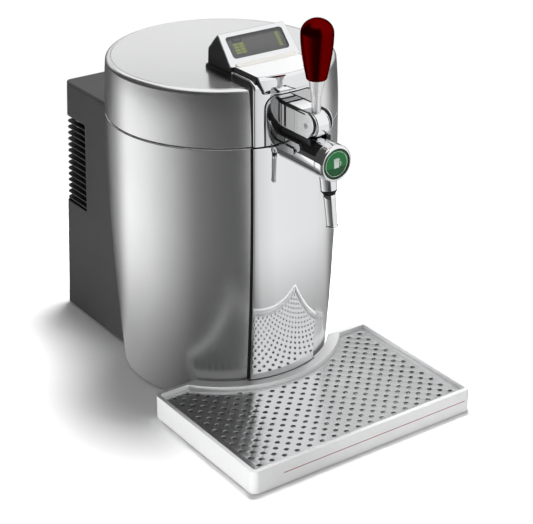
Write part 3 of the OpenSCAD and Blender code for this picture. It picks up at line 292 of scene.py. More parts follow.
def cut(bm, *cutters, how="DIFFERENCE"):
    """Takes the cutters out of a solid, or keeps only what they share with it."""
    solid = loose(bm)
    tools = [loose(cutter) for cutter in cutters]
    for tool in tools:
        boolean = solid.modifiers.new("cut", "BOOLEAN")
        boolean.operation = how
        boolean.solver = "EXACT"
        boolean.object = tool
    seen = solid.evaluated_get(bpy.context.evaluated_depsgraph_get())
    result = bmesh.new()
    result.from_mesh(seen.to_mesh())
    seen.to_mesh_clear()
    for obj in [solid, *tools]:
        mesh = obj.data
        bpy.data.objects.remove(obj)
        bpy.data.meshes.remove(mesh)
    return result


def piece(name, bm, finish, body, slot, *nodes, edge=0.0, segments=2):
    """Makes a piece that is drawn about the drum's axis, and lets it ride on its body."""
    bmesh.ops.recalc_face_normals(bm, faces=bm.faces)
    if bm.calc_volume(signed=True) < 0:
        bmesh.ops.reverse_faces(bm, faces=bm.faces)
    bmesh.ops.translate(bm, verts=bm.verts, vec=(0, DRUM_Y, 0))
    mesh = bpy.data.meshes.new(name)
    bm.to_mesh(mesh)
    bm.free()
    mesh.materials.append(finish.material)
    obj = bpy.data.objects.new(name, mesh)
    scene.collection.objects.link(obj)
    if edge:
        round_edges(obj, edge, segments)
    even_normals(obj)
    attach(obj, body)
    if nodes:
        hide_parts(*nodes)
    return obj


SHELL_Z = shell_low.z
SHELL_TOP = shell_high.z
BELLY_R = (shell_high.x - shell_low.x) / 2
BELLY_Z = 0.265
FOOT_DRAW = 0.0108
SHEET = 0.002
WINDOW_W = 0.152
WINDOW_TOP = 0.2835


def shell_r(z):
    return BELLY_R - FOOT_DRAW * ((BELLY_Z - z) / (BELLY_Z - SHELL_Z)) ** 2


satin = Finish("satin_silver_lacquer", (0.9, 0.902, 0.906), 1.0)
satin.rough(0.24, 0.27, 40)
satin.tint((0.87, 0.873, 0.88), 14)
hem = SHEET / 2
shell = lathe(
    [(shell_r(z), z) for z in span(SHELL_Z + hem, SHELL_TOP - hem, 48)]
    + arc((shell_r(SHELL_TOP) - hem, SHELL_TOP - hem), hem, 20, 160)
    + [(shell_r(z) - SHEET, z) for z in span(SHELL_TOP - hem, SHELL_Z + hem, 48)]
    + arc((shell_r(SHELL_Z) - hem, SHELL_Z + hem), hem, 200, 340), steps=240)
shell = cut(shell, block((-WINDOW_W / 2, WINDOW_W / 2), (0, 2 * BELLY_R), (-0.01, WINDOW_TOP)))
piece("drum_shell", shell, satin, "cabinet", "silver_shell", "outer_shell")


# ---- Rear housing -----------------------------------------------------------------
# A dark grey moulded cover stands behind the drum, drawn in a little at its top, with a
# fine seam under its top.  Louvre blades run round its corners, and a round grille is cut
# into its back in front of the fan.
housing_low, housing_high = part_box("rear_housing")
HOUSING_FOOT = housing_low.z
HOUSING_TOP = housing_high.z
HOUSING_W = housing_high.x - housing_low.x
HOUSING_DRAW = 0.018
HOUSING_BACK = housing_high.y - DRUM_Y
HOUSING_LEAN = 0.009
HOUSING_CORNER = 0.007
HOUSING_WALL = 0.0025
LOUVRE_Z = 0.138
LOUVRE_N = 15
LOUVRE_PITCH = 0.0074
LOUVRE_SLOT = 0.0042
LOUVRE_Y = 0.16
LOUVRE_WRAP = 0.022
BLADE_T = 0.0019
BLADE_DEPTH = 0.0075
BLADE_IN = 0.0007
GRILLE_R = 0.043
GRILLE_Z = 0.19


def up_housing(z):
    return (z - HOUSING_FOOT) / (HOUSING_TOP - HOUSING_FOOT)


def side_x(z):
    return (HOUSING_W - HOUSING_DRAW * up_housing(z)) / 2


def back_y(z):
    return HOUSING_BACK - HOUSING_LEAN * up_housing(z)


def rounded_rectangle(x, y0, y1, r, count=6):
    """Outline of a rectangle from -x to x and from y0 to y1, with round corners."""
    return (arc((x - r, y0 + r), r, 270, 360, count) + arc((x - r, y1 - r), r, 0, 90, count)
            + arc((r - x, y1 - r), r, 90, 180, count) + arc((r - x, y0 + r), r, 180, 270, count))


def stack(rings):
    """Faces between rings of points, with as many points in each, and over both ends."""
    bm = bmesh.new()
    rows = [[bm.verts.new(point) for point in ring] for ring in rings]
    sides(bm, rows)
    bm.faces.new(rows[0])
    bm.faces.new(rows[-1])
    return bm


def add(bm, other):
    """Adds another piece's faces to a mesh."""
    mesh = bpy.data.meshes.new("part")
    other.to_mesh(mesh)
    other.free()
    bm.from_mesh(mesh)
    bpy.data.meshes.remove(mesh)


def housing_ring(z, inset):
    return [(x, y, z) for x, y in rounded_rectangle(
        side_x(z) - inset, 0.02, back_y(z) - inset, HOUSING_CORNER - min(inset, 0.005))]


seam = 0.0006
top_round = 0.0014
housing = stack(
    [housing_ring(z, 0) for z in span(HOUSING_FOOT, HOUSING_TOP - 4 * seam - top_round, 12)]
    + [housing_ring(HOUSING_TOP - h, inset) for h, inset in [
        (3.4 * seam + top_round, seam), (2.6 * seam + top_round, seam),
        (2 * seam + top_round, 0), (top_round, 0)]]
    + [housing_ring(HOUSING_TOP - top_round + u, top_round - v)
       for v, u in arc((0, 0), top_round, 15, 90, 5)])
hollow = stack([housing_ring(z, HOUSING_WALL)
                for z in (HOUSING_FOOT - 0.01, HOUSING_TOP - HOUSING_WALL)])
drum_room = lathe([(0, -0.01)] + [(shell_r(z) + 0.0003, z) for z in span(-0.01, 0.31, 24)]
                  + [(0, 0.31)], steps=240)
louvre_top = LOUVRE_Z + (LOUVRE_N - 1) * LOUVRE_PITCH + LOUVRE_SLOT
openings = [block(sorted((side * 0.2, side * (side_x(LOUVRE_Z) - LOUVRE_WRAP))),
                  (LOUVRE_Y, 0.3), (LOUVRE_Z, louvre_top)) for side in (-1, 1)]
for i in range(LOUVRE_N):
    z = LOUVRE_Z + i * LOUVRE_PITCH
    rise = z + LOUVRE_SLOT / 2 - GRILLE_Z
    if abs(rise) < GRILLE_R - LOUVRE_SLOT:
        half = sqrt(GRILLE_R ** 2 - rise ** 2)
        openings.append(block((-half, half), (0.199, 0.22), (z, z + LOUVRE_SLOT)))
inlet_low, inlet_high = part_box("power_inlet")
inlet_flange = 0.002
openings.append(block((inlet_low.x + inlet_flange, inlet_high.x - inlet_flange),
                      (0.19, 0.23), (inlet_low.z + inlet_flange, inlet_high.z - inlet_flange)))
housing = cut(housing, hollow, drum_room, *openings)
piece("housing_cover", housing, dark_case, "cabinet", "dark_case", "rear_housing")

blade_section = ([(0, 0)] + arc((BLADE_DEPTH - BLADE_T / 2, BLADE_T / 2), BLADE_T / 2, -90, 90, 5)
                 + [(0, BLADE_T)])
blades = bmesh.new()
for side in (-1, 1):
    for i in range(LOUVRE_N):
        z = LOUVRE_Z + (i + 0.5) * LOUVRE_PITCH - BLADE_T / 2
        r = HOUSING_CORNER - BLADE_IN
        x, y = side_x(z) - BLADE_IN - r, back_y(z) - BLADE_IN - r
        path = ([(x + r, LOUVRE_Y + 0.0002, 1, 0)]
                + [(x + r * cos(a), y + r * sin(a), cos(a), sin(a)) for a in span(0, pi / 2, 8)]
                + [(side_x(z) - LOUVRE_WRAP + 0.0002, y + r, 0, 1)])
        add(blades, stack([
            [(side * (px - nx * (BLADE_DEPTH - out)), py - ny * (BLADE_DEPTH - out), z + up)
             for out, up in blade_section] for px, py, nx, ny in path]))
piece("louvre_blades", blades, dark_case, "cabinet", "dark_case")
dress("power_inlet", black_plastic, 0.0003)
dress("power_switch", black_plastic, 0.0003)
dress("case_screws", steel, 0.0002)


# ---- Column panel and its gasket --------------------------------------------------
# A chrome plated panel is bent round the drum's front from the tray up to the seam.  A
# black gasket strip shows as a dark line along both of its edges.
def pressed(outline, thickness, edge, bend, pitch=0.002, holes=()):
    """A flat blank with a rounded front edge, gridded at a pitch and bent to shape.

    The outline is (across, along); bend takes (across, along, depth) to a place."""
    bm = bmesh.new()
    for loop in [outline, *holes]:
        verts = [bm.verts.new((u, v, 0)) for u, v in loop]
        for a, b in zip(verts, verts[1:] + verts[:1]):
            bm.edges.new((a, b))
    bmesh.ops.triangle_fill(bm, use_beauty=True, use_dissolve=True, edges=bm.edges,
                            normal=(0, 0, 1))
    bmesh.ops.dissolve_limit(bm, angle_limit=0.001, verts=bm.verts, edges=[
        e for e in bm.edges if not e.is_boundary])
    grown = bmesh.ops.extrude_face_region(bm, geom=list(bm.faces))
    bmesh.ops.translate(bm, vec=(0, 0, thickness), verts=[
        v for v in grown["geom"] if isinstance(v, bmesh.types.BMVert)])
    walls = [f for f in bm.faces if abs(f.normal.z) < 0.5 or f.calc_area() == 0]
    rim = {e for f in walls for e in f.edges if all(abs(v.co.z) < 1e-9 for v in e.verts)}
    bmesh.ops.bevel(bm, geom=list(rim), offset=edge, segments=4, profile=0.5, affect="EDGES")
    for axis in (0, 1):
        low = min(v.co[axis] for v in bm.verts)
        high = max(v.co[axis] for v in bm.verts)
        normal = [float(axis == 0), float(axis == 1), 0.0]
        for i in range(1, ceil((high - low) / pitch)):
            at = [0.0, 0.0, 0.0]
            at[axis] = low + i * pitch
            bmesh.ops.bisect_plane(bm, geom=list(bm.verts) + list(bm.edges) + list(bm.faces),
                                   dist=1e-6, plane_co=at, plane_no=normal)
    for v in bm.verts:
        v.co = bend(*v.co)
    return bm


def on_drum(u, r, z):
    """The place at a distance u across and at a radius r from the drum's axis."""
    return Vector((u, -sqrt(r * r - u * u), z))


column_low, column_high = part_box("column_panel")
COLUMN_W = column_high.x - column_low.x
COLUMN_R = 0.1285
COLUMN_DRAW = 0.007
COLUMN_FOOT = column_low.z
GASKET_T = 0.0012
SEAT_GAP = 0.0002


def column_r(z):
    low = max(0, BELLY_Z - z) / (BELLY_Z - COLUMN_FOOT)
    return COLUMN_R - COLUMN_DRAW * low ** 2


chrome = Finish("polished_chrome", (0.86, 0.865, 0.875), 1.0)
chrome.rough(0.035, 0.06, 35)
chrome.bump(0.00001, 0.12, 70, detail=1)
column_t = 0.002


def bend_column(u, v, w):
    deep = column_r(v) - shell_r(v) - GASKET_T - 2 * SEAT_GAP
    return on_drum(u, column_r(v) - deep * w / column_t, v)


panel = pressed(rounded_rectangle(COLUMN_W / 2, COLUMN_FOOT, SHELL_TOP, 0.0003, 2), column_t,
                0.0007, bend_column, 0.003)
piece("front_column", panel, chrome, "cabinet", "chrome", "column_panel")
dress("column_gasket", rubber, 0)


# ---- Tap plate and its bracket ----------------------------------------------------
# The tap is screwed through an arched chrome plate into a bracket on the drum's deck.
# Both stay on the drum when the lid swings up, which is notched for them.
plate_low, plate_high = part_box("tap_plate")
SEAM_Z = plate_low.z
ARCH_W = plate_high.x - plate_low.x
ARCH_TOP = plate_high.z
ARCH_ROUND = 0.012
PLATE_R = COLUMN_R - 0.0005
PLATE_T = 0.002


def arch(x, z0, z1, r):
    """Outline of an arch with a flat foot and round shoulders."""
    return ([(-x, z0), (x, z0)] + arc((x - r, z1 - r), r, 0, 90, 10)
            + arc((r - x, z1 - r), r, 90, 180, 10))


plate = pressed(arch(ARCH_W / 2, SEAM_Z, ARCH_TOP, ARCH_ROUND), PLATE_T, 0.0005,
                lambda u, v, w: on_drum(u, PLATE_R - w, v))
# The plate's chrome is a darker copy of the column's chrome: painted shade, in place of the dark
# surroundings it reflects.
painted_shade_chrome = Finish("painted_shade_chrome", (0.56, 0.563, 0.57), 1.0)
painted_shade_chrome.rough(0.05, 0.08, 35)
piece("arched_plate", plate, painted_shade_chrome, "cabinet", "chrome", "tap_plate")
SEAL_W = 0.0009
seal = pressed(arch(ARCH_W / 2 + SEAL_W, SEAM_Z, ARCH_TOP + SEAL_W, ARCH_ROUND + SEAL_W)
               + list(reversed(arch(ARCH_W / 2 + 0.0001, SEAM_Z, ARCH_TOP + 0.0001, ARCH_ROUND))),
               0.0015, 0.0002, lambda u, v, w: on_drum(u, PLATE_R - 0.0004 - w, v))
piece("arch_seal", seal, rubber, "cabinet", "rubber")
dress("tap_bracket", dark_case)
dress("tap_screws", steel, 0.0002)


# ---- Tap block, inlays, shadow strips and neck seal -------------------------------
# The tap's upper block is a satin chrome casting, slotted for the lever's hub.  Black
# inlays sit under its cheeks, black strips in the chamfers of its long top edges are
# painted shadow, and a rubber seal wraps its neck at the column.
pin_low, pin_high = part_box("lever_pin")
PIVOT_Y = (pin_low.y + pin_high.y) / 2 - DRUM_Y
PIVOT_Z = (pin_low.z + pin_high.z) / 2
hub_low, hub_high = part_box("lever_hub")
HUB_R = (hub_high.y - hub_low.y) / 2
HUB_W = hub_high.x - hub_low.x
block_low, block_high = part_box("tap_block")
BLOCK_W = block_high.x - block_low.x
BLOCK_FOOT = block_low.z
BLOCK_TOP = block_high.z
CHEEK_R = 0.0114
CHEEK_SKIN = 0.0008
CHAMFER = 0.0026
STEM_R = 0.0048
GAP = 0.0003


def circle(centre, radius, count):
    return arc(centre, radius, 0, 360 - 360 / count, count - 1)


def hub_room():
    """What the lever's hub and stem sweep."""
    x, r = HUB_W / 2 + GAP, HUB_R + GAP
    return [prism(circle((PIVOT_Y, PIVOT_Z), r, 72), -x, x, "x"),
            block((-x, x), (PIVOT_Y - 2 * HUB_R, PIVOT_Y + STEM_R + 0.005),
                  (PIVOT_Z, PIVOT_Z + 2 * HUB_R))]


def drum_front():
    """The round front that the tap is fitted to."""
    r = COLUMN_R + 0.0001
    return lathe([(0, 0.2), (r, 0.2), (r, 0.4), (0, 0.4)], steps=360)


def cheek(grow, back, foot):
    return ([(back, foot), (back, BLOCK_TOP + grow)]
            + arc((PIVOT_Y, BLOCK_TOP - CHEEK_R), CHEEK_R + grow, 90, 215, 14)
            + [(PIVOT_Y - 0.003 - grow, foot)])


gasket_low, gasket_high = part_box("tap_gasket")
GASKET_FRONT = gasket_low.y - DRUM_Y
casting = prism(cheek(0, -COLUMN_R + 0.006, BLOCK_FOOT), -BLOCK_W / 2, BLOCK_W / 2, "x")
bmesh.ops.recalc_face_normals(casting, faces=casting.faces)
long_edges = [e for e in casting.edges if all(
    abs(v.co.z - BLOCK_TOP) < 1e-6 and v.co.y > PIVOT_Y - 1e-6 for v in e.verts)
    and abs(e.verts[0].co.x - e.verts[1].co.x) < 1e-6]
bmesh.ops.bevel(casting, geom=long_edges, offset=CHAMFER, segments=1, affect="EDGES")
recesses = []
for side in (-1, 1):
    inner, outer = HUB_W / 2 + GAP - 0.0001, BLOCK_W / 2 - CHEEK_SKIN + 0.00005
    recesses.append(prism(cheek(0.001, GASKET_FRONT - 0.0015, BLOCK_FOOT + 0.004),
                          *sorted((side * inner, side * outer)), "x"))
    for back, step in ((0.0145, 0.00025), (0.0185, 0.0004)):
        face = BLOCK_W / 2 - step
        recesses.append(block(sorted((side * face, side * 0.02)),
                              (PIVOT_Y + back, PIVOT_Y + back + 0.0005), (BLOCK_FOOT, BLOCK_TOP)))
casting = cut(casting, *hub_room(), drum_front(), *recesses)
satin_chrome = Finish("satin_chrome", (0.84, 0.845, 0.85), 0.6)
satin_chrome.rough(0.22, 0.26, 40)
piece("tap_casting", casting, satin_chrome, "cabinet", "chrome", "tap_block", edge=0.00035)
# Black strips in the chamfers of the long top edges are painted shadow.
TRIM_OUT = 0.0003
TRIM_T = 0.0009
shadow_strips = bmesh.new()
for side in (-1, 1):
    x, z = BLOCK_W / 2, BLOCK_TOP
    section = [(side * (x - CHAMFER), z + TRIM_OUT), (side * (x - CHAMFER / 2), z + TRIM_OUT),
               (side * (x + TRIM_OUT), z - CHAMFER / 2), (side * (x + TRIM_OUT), z - CHAMFER),
               (side * (x - TRIM_T), z - CHAMFER), (side * (x - CHAMFER), z - TRIM_T)]
    add(shadow_strips, prism(section, PIVOT_Y + 0.0015, -COLUMN_R + 0.001, "y"))
piece("edge_shadow_strips", shadow_strips, rubber, "cabinet", "black_trim", edge=0.0002, segments=3)
dress("tap_inlay", black_plastic, 0.0002)
NECK_T = 0.0027
NECK_FRONT = GASKET_FRONT - 0.0012
NECK_FIT = 0.0004
neck = prism(rounded_rectangle(gasket_high.x, gasket_low.z, gasket_high.z, 0.0024), NECK_FRONT,
             NECK_FRONT + NECK_T, "y")
neck = cut(neck, block((-BLOCK_W / 2 + NECK_FIT, BLOCK_W / 2 - NECK_FIT), (-0.2, 0),
                       (BLOCK_FOOT - 0.01, BLOCK_TOP - NECK_FIT)))
piece("neck_seal", neck, rubber, "cabinet", "rubber", "tap_gasket", edge=0.0002)


# ---- Tap arm ----------------------------------------------------------------------
# A round chrome trough with two long grooves in each side carries the beer line forward
# from the column.  A black cover closes it, with a chrome bar at each shoulder and a
# plate on each side.
arm_low, arm_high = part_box("arm_trough")
ARM_R = (arm_high.x - arm_low.x) / 2
ARM_Z = arm_low.z + ARM_R
ARM_END = arm_low.y - DRUM_Y
COVER_Z = arm_high.z
cover_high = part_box("arm_cover")[1]
COVER_R = ARM_R - 0.0005
LINE_R = 0.007
ARM_ROOT = -COLUMN_R + 0.004


def grooved(angle, width, depth):
    """Points of a groove that is cut into the trough's round side."""
    half = degrees(width / ARM_R / 2)
    floor_r = ARM_R - depth
    return [(r * cos(radians(a)), ARM_Z + r * sin(radians(a))) for a, r in (
        (angle - half, ARM_R), (angle - 0.8 * half, floor_r), (angle + 0.8 * half, floor_r),
        (angle + half, ARM_R))]


arm_axis = (0, ARM_Z)
top_angle = degrees(asin((COVER_Z - ARM_Z) / ARM_R))
lower_half = (arc(arm_axis, ARM_R, -90, -43, 12) + grooved(-38, 0.0016, 0.001)
              + arc(arm_axis, ARM_R, -34, -14, 5) + grooved(-11, 0.0009, 0.0007)
              + arc(arm_axis, ARM_R, -8, top_angle, 8))
section = lower_half + [(-x, z) for x, z in reversed(lower_half[1:])]
shoulder_low, shoulder_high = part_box("shoulder_bars")
SHOULDER_X = 0.0122


def shoulder_room():
    gap = 0.0001
    return [block(sorted((side * (SHOULDER_X - gap), side * 0.03)),
                  (shoulder_low.y - DRUM_Y - gap, -0.1),
                  (shoulder_low.z - gap, shoulder_high.z + gap)) for side in (-1, 1)]


trough = cut(prism(section, ARM_END, ARM_ROOT, "y"),
             prism(circle(arm_axis, LINE_R, 32), ARM_END - 0.001, 0, "y"),
             drum_front(), *shoulder_room())
piece("trough", trough, chrome, "cabinet", "chrome", "arm_trough", edge=0.0003)

spine_w = 0.0154
spine_back = ARM_END + 0.0262
plateau_x = BLOCK_W / 2 + 0.0002
plateau = block((-plateau_x, plateau_x), (PIVOT_Y - 0.008, ARM_ROOT), (COVER_Z, cover_high.z))
cover_angle = degrees(asin((COVER_Z - ARM_Z) / COVER_R)) + 0.3
dome = arc(arm_axis, COVER_R, cover_angle, 180 - cover_angle, 28)
cover = cut(prism(dome, ARM_END + 0.00005, ARM_ROOT, "y"), plateau, how="UNION")
cover = cut(cover, *hub_room(), drum_front(), *shoulder_room(),
            block((-spine_w / 2, spine_w / 2), (ARM_END - 0.01, spine_back), (COVER_Z - 0.001, 0.34)))
piece("cover", cover, black_plastic, "cabinet", "black_trim", "arm_cover", edge=0.0004)

bars = bmesh.new()
height = shoulder_high.z - shoulder_low.z
nose_y = shoulder_low.y - DRUM_Y + height / 2
outline = arc((nose_y, shoulder_low.z + height / 2), height / 2, 90, 270, 12) + [
    (ARM_ROOT, shoulder_low.z), (ARM_ROOT, shoulder_high.z)]
for side in (-1, 1):
    add(bars, prism(outline, *sorted((side * SHOULDER_X, side * shoulder_high.x)), "x"))
bars = cut(bars, drum_front())
piece("shoulders", bars, chrome, "cabinet", "chrome", "shoulder_bars", edge=0.001, segments=3)
dress("side_plates", chrome, 0.0004)


# ---- End cap and badge ------------------------------------------------------------
# A turned chrome cap closes the arm and runs back along its top as a spine.  A domed
# green badge in a dark ring is bonded into its face, with a plain mug printed on it.
cap_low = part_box("end_cap")[0]
CAP_FRONT = cap_low.y - DRUM_Y
CAP_R = ARM_R + 0.0002
badge_low, badge_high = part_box("badge_disc")
BADGE_R = (badge_high.x - badge_low.x) / 2
BADGE_FACE = badge_low.y - DRUM_Y
BADGE_IN = 0.0022
along_arm = Matrix.Translation((0, 0, ARM_Z)) @ Matrix.Rotation(radians(90), 4, "X")


def moved(bm, matrix):
    """Lays a piece that was drawn about its own origin where it belongs."""
    bmesh.ops.transform(bm, matrix=matrix, verts=bm.verts)
    return bm


cap_back, cap_front = -ARM_END + 0.0001, -CAP_FRONT
lip = BADGE_R + 0.0009
turned = lathe([(0, cap_back), (CAP_R - 0.0006, cap_back), (CAP_R, cap_back + 0.0006),
                (CAP_R, cap_back + 0.0016), (CAP_R - 0.0004, cap_back + 0.0019),
                (CAP_R - 0.0004, cap_back + 0.0022), (CAP_R, cap_back + 0.0025)]
               + arc((CAP_R - 0.0032, cap_front - 0.0034), 0.0032, 0, 80, 9)
               + arc((lip, cap_front - 0.0005), 0.0005, 80, 180, 5)
               + [(BADGE_R + 0.0003, cap_front - BADGE_IN), (0, cap_front - BADGE_IN)], steps=96)
turned = moved(turned, along_arm)
spine_x = spine_w / 2 - SEAT_GAP
spine = prism([(-spine_x, COVER_Z + 0.0001), (spine_x, COVER_Z + 0.0001),
               *arc(arm_axis, ARM_R + 0.0001, 66.6, 113.4, 12)],
              ARM_END - 0.002, ARM_END + 0.026, "y")
turned = cut(turned, spine, how="UNION")
turned = cut(turned, *hub_room())
piece("cap_and_spine", turned, chrome, "cabinet", "chrome", "end_cap", edge=0.0003)

badge_green = Finish("green_enamel", (0.012, 0.16, 0.04), Specular_IOR_Level=0.3)
badge_green.rough(0.15, 0.25, 400)
# The badge's lower part is painted a darker green: painted shade on the dome.
split = add_node(badge_green.tree, "ShaderNodeSeparateXYZ", {"Vector": badge_green.place})
upper = add_node(badge_green.tree, "ShaderNodeMapRange", {
    "Value": split.outputs["Z"], "From Min": ARM_Z - 0.004, "From Max": ARM_Z - 0.0034})
painted_shade = add_node(badge_green.tree, "ShaderNodeMix", {
    "Factor": upper.outputs["Result"], "A": (0.004, 0.085, 0.02, 1), "B": (0.012, 0.19, 0.05, 1)},
    data_type="RGBA")
badge_green.feed("Base Color", painted_shade.outputs["Result"])
face = -BADGE_FACE
disc = lathe([(0, face - 0.0015), (BADGE_R - 0.0008, face - 0.0015)]
             + arc((BADGE_R - 0.0011, face - 0.0006), 0.0003, -10, 70, 3)
             + [((BADGE_R - 0.001) * s, face - 0.0003 * s * s) for s in span(0.95, 0, 8)],
             steps=96)
piece("badge", moved(disc, along_arm), badge_green, "cabinet", "badge_green", "badge_disc")
rim = lathe([(BADGE_R - 0.0007, face - 0.0014), (BADGE_R + 0.0002, face - 0.0014),
             (BADGE_R + 0.0002, face - 0.0002), (BADGE_R - 0.0002, face),
             (BADGE_R - 0.0007, face - 0.0002)], steps=96)
piece("badge_rim", moved(rim, along_arm), black_plastic, "cabinet", "black_trim")
print_white = Finish("printed_white", (0.72, 0.76, 0.7), Coat_Weight=0.6)
print_white.rough(0.3, 0.4, 500)
motif = moved(lathe([(r, face - d) for r, d in (
    (0.0127, 0.0003), (0.0127, 0.0001), (0.0131, 0.0001), (0.0131, 0.0003))], steps=96), along_arm)
print_y = (BADGE_FACE - 0.00002, BADGE_FACE + 0.0002)
mug_x, mug_z, mug_h, mug_flare = 0.0029, ARM_Z - 0.0042, 0.0078, 1.12
handle_at = (mug_x * 1.05, mug_z + 0.0042)
mug = [[(-mug_x, mug_z), (mug_x, mug_z), (mug_x * mug_flare, mug_z + mug_h),
        (-mug_x * mug_flare, mug_z + mug_h)]]
for x, r in ((-0.0023, 0.0013), (0, 0.0016), (0.0023, 0.0013)):
    mug.append(circle((x, mug_z + 0.0087), r, 24))
mug.append(arc(handle_at, 0.0026, -72, 72, 12) + arc(handle_at, 0.0018, 68, -68, 12))
for outline in mug:
    add(motif, prism(outline, *print_y, "y"))
piece("badge_print", motif, print_white, "cabinet", "white_plastic")


# ---- Spout and pinch valve --------------------------------------------------------
# The spout hangs under the end cap: a flared chrome socket, a black seal and a tube that
# narrows a little towards its lip.  Above it the lever lifts a plunger that pinches the
# beer line.
SPOUT_TILT = radians(-9.5)
SPOUT_Y = ARM_END - 0.0008
SPOUT_Z = ARM_Z - 0.0314
SEAL_H = 0.005
SPOUT_LEN = 0.032
SPOUT_R = 0.00625
SPOUT_BORE = 0.0035
BORE_R = 0.0046
on_spout = Matrix.Translation((0, SPOUT_Y, SPOUT_Z)) @ Matrix.Rotation(SPOUT_TILT, 4, "X")
SOCKET_H = 0.026
flare = [(0.0085 + 0.00125 * t ** 2.2, SOCKET_H * t) for t in span(0, 1, 14)]
socket = lathe([(BORE_R, 0.0), (0.0081, 0.0), (0.0085, 0.0004)] + flare[1:]
               + [(BORE_R, SOCKET_H)], steps=72)
socket = cut(moved(socket, on_spout),
             prism(circle(arm_axis, CAP_R + GAP, 96), CAP_FRONT - 0.01, -0.1, "y"))
piece("socket", socket, chrome, "cabinet", "chrome", "spout_socket", edge=0.0002)
collar_seal = lathe([(BORE_R, -SEAL_H), (0.0056, -SEAL_H), (0.0061, -SEAL_H + 0.0008),
                     (0.0061, -SEAL_H + 0.0014), (0.0079, -0.0012), (0.0084, -0.0008),
                     (0.0084, -0.0001), (BORE_R, -0.0001)], steps=72)
piece("seal", moved(collar_seal, on_spout), rubber, "cabinet", "rubber", "spout_seal")
foot = -SEAL_H - SPOUT_LEN
tube = lathe([(SPOUT_BORE, foot - 0.0026), (0.0040, foot - 0.0026), (0.0042, foot - 0.0023),
              (0.0042, foot - 0.0014), (0.0058, foot - 0.0014), (0.00615, foot - 0.0011),
              (0.00615, foot + 0.0001), (0.0056, foot + 0.0004)]
             + [(SPOUT_R - 0.0007 * t, -SEAL_H - 0.0001 - (SPOUT_LEN - 0.001) * t)
                for t in span(1, 0, 8)]
             + [(BORE_R - 0.0001, -SEAL_H - 0.0001), (BORE_R - 0.0001, 0.007),
                (SPOUT_BORE, 0.007)], steps=72)
piece("tube", moved(tube, on_spout), chrome, "cabinet", "chrome", "spout_tube")
dress("valve_plunger", white_plastic, 0.0003)


# ---- Lever ------------------------------------------------------------------------
# The hub turns on a steel pin and carries a stem.  A collar is screwed onto the stem,
# and the deep red lacquered handle onto the collar's stud.
red_lacquer = Finish("deep_red_lacquer", (0.15, 0.0006, 0.0006), 1.0,
                     Specular_Tint=(0.4, 0.01, 0.01, 1))
red_lacquer.rough(0.2, 0.26, 30)
red_lacquer.tint((0.12, 0.0006, 0.0006), 45, (1, 1, 2))
cast_grey = Finish("pale_satin_metal", (0.85, 0.85, 0.855), 0.6)
cast_grey.rough(0.28, 0.36, 300)
HUB_X = HUB_W / 2
PIN_R = 0.00255
hub_half = [(HUB_R - down, along - HUB_X) for down, along in (
    (0.0022, 0), (0.001, 0.0002), (0.0005, 0.0007), (0.0005, 0.0014), (0.001, 0.0016),
    (0.001, 0.002), (0.0003, 0.0022), (0, 0.0026))]
hub = lathe([(PIN_R, -HUB_X)] + hub_half + [(r, -x) for r, x in reversed(hub_half)]
            + [(PIN_R, HUB_X)], steps=120)
across = Matrix.Translation((0, PIVOT_Y, PIVOT_Z)) @ Matrix.Rotation(radians(90), 4, "Y")
piece("hub", moved(hub, across), chrome, "lever", "chrome", "lever_hub")



stem_low, stem_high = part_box("lever_stem")
collar_low, collar_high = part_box("lever_collar")
COLLAR_LEN = 0.016
COLLAR_FOOT = 0.0054
COLLAR_TOP = 0.0085
STUD_R = 0.003
on_pivot = Matrix.Translation((0, PIVOT_Y, 0))
stem = lathe([(0, stem_low.z), (STEM_R, stem_low.z), (STEM_R, stem_high.z - 0.0003),
              (STEM_R - 0.0003, stem_high.z), (0, stem_high.z)], steps=64)
piece("stem", moved(stem, on_pivot), cast_grey, "lever", "chrome", "lever_stem")
collar_z = collar_low.z
collar = lathe([(0, collar_z), (COLLAR_FOOT - 0.0003, collar_z)]
               + arc((COLLAR_FOOT - 0.0003, collar_z + 0.0003), 0.0003, -60, 0, 3)
               + [(COLLAR_FOOT + (COLLAR_TOP - COLLAR_FOOT) * t, collar_z + COLLAR_LEN * t)
                  for t in span(0.05, 0.98, 8)]
               + [(COLLAR_TOP - 0.0003, collar_z + COLLAR_LEN), (STUD_R, collar_z + COLLAR_LEN),
                  (STUD_R, collar_high.z), (0, collar_high.z)], steps=64)
piece("collar", moved(collar, on_pivot), cast_grey, "lever", "chrome", "lever_collar")
grip_low, grip_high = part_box("lever_handle")
GRIP_R = (grip_high.x - grip_low.x) / 2
GRIP_FOOT_R = 0.0105
GRIP_ROUND = 0.0018
GRIP_DOME = 0.9 * GRIP_R
grip_top = grip_high.z - GRIP_DOME
body = [(GRIP_FOOT_R + (GRIP_R - GRIP_FOOT_R) * sin(t * pi / 2),
         grip_low.z + 0.002 + (grip_top - grip_low.z - 0.002) * t) for t in span(0.04, 1, 28)]
grip = lathe([(0, grip_low.z), (GRIP_FOOT_R - GRIP_ROUND, grip_low.z)]
             + arc((GRIP_FOOT_R - GRIP_ROUND, grip_low.z + GRIP_ROUND), GRIP_ROUND, -75, -5, 5)
             + body + [(GRIP_R * cos(a), grip_top + GRIP_DOME * sin(a))
                       for a in span(pi / 40, pi / 2, 19)], steps=96)
piece("grip", moved(grip, on_pivot), red_lacquer, "lever", "handle_red", "lever_handle")
dress("lever_pin", steel, 0.0002)


# ---- Lid hinge --------------------------------------------------------------------
# Behind the drum a steel pin runs through two moulded knuckles on the housing and one on
# the lid, so that the lid swings up and back.
dress("hinge_bracket", dark_case, 0.0004)
dress("hinge_pin", steel, 0.0003)
dress("lid_knuckle", dark_case, 0.0004)


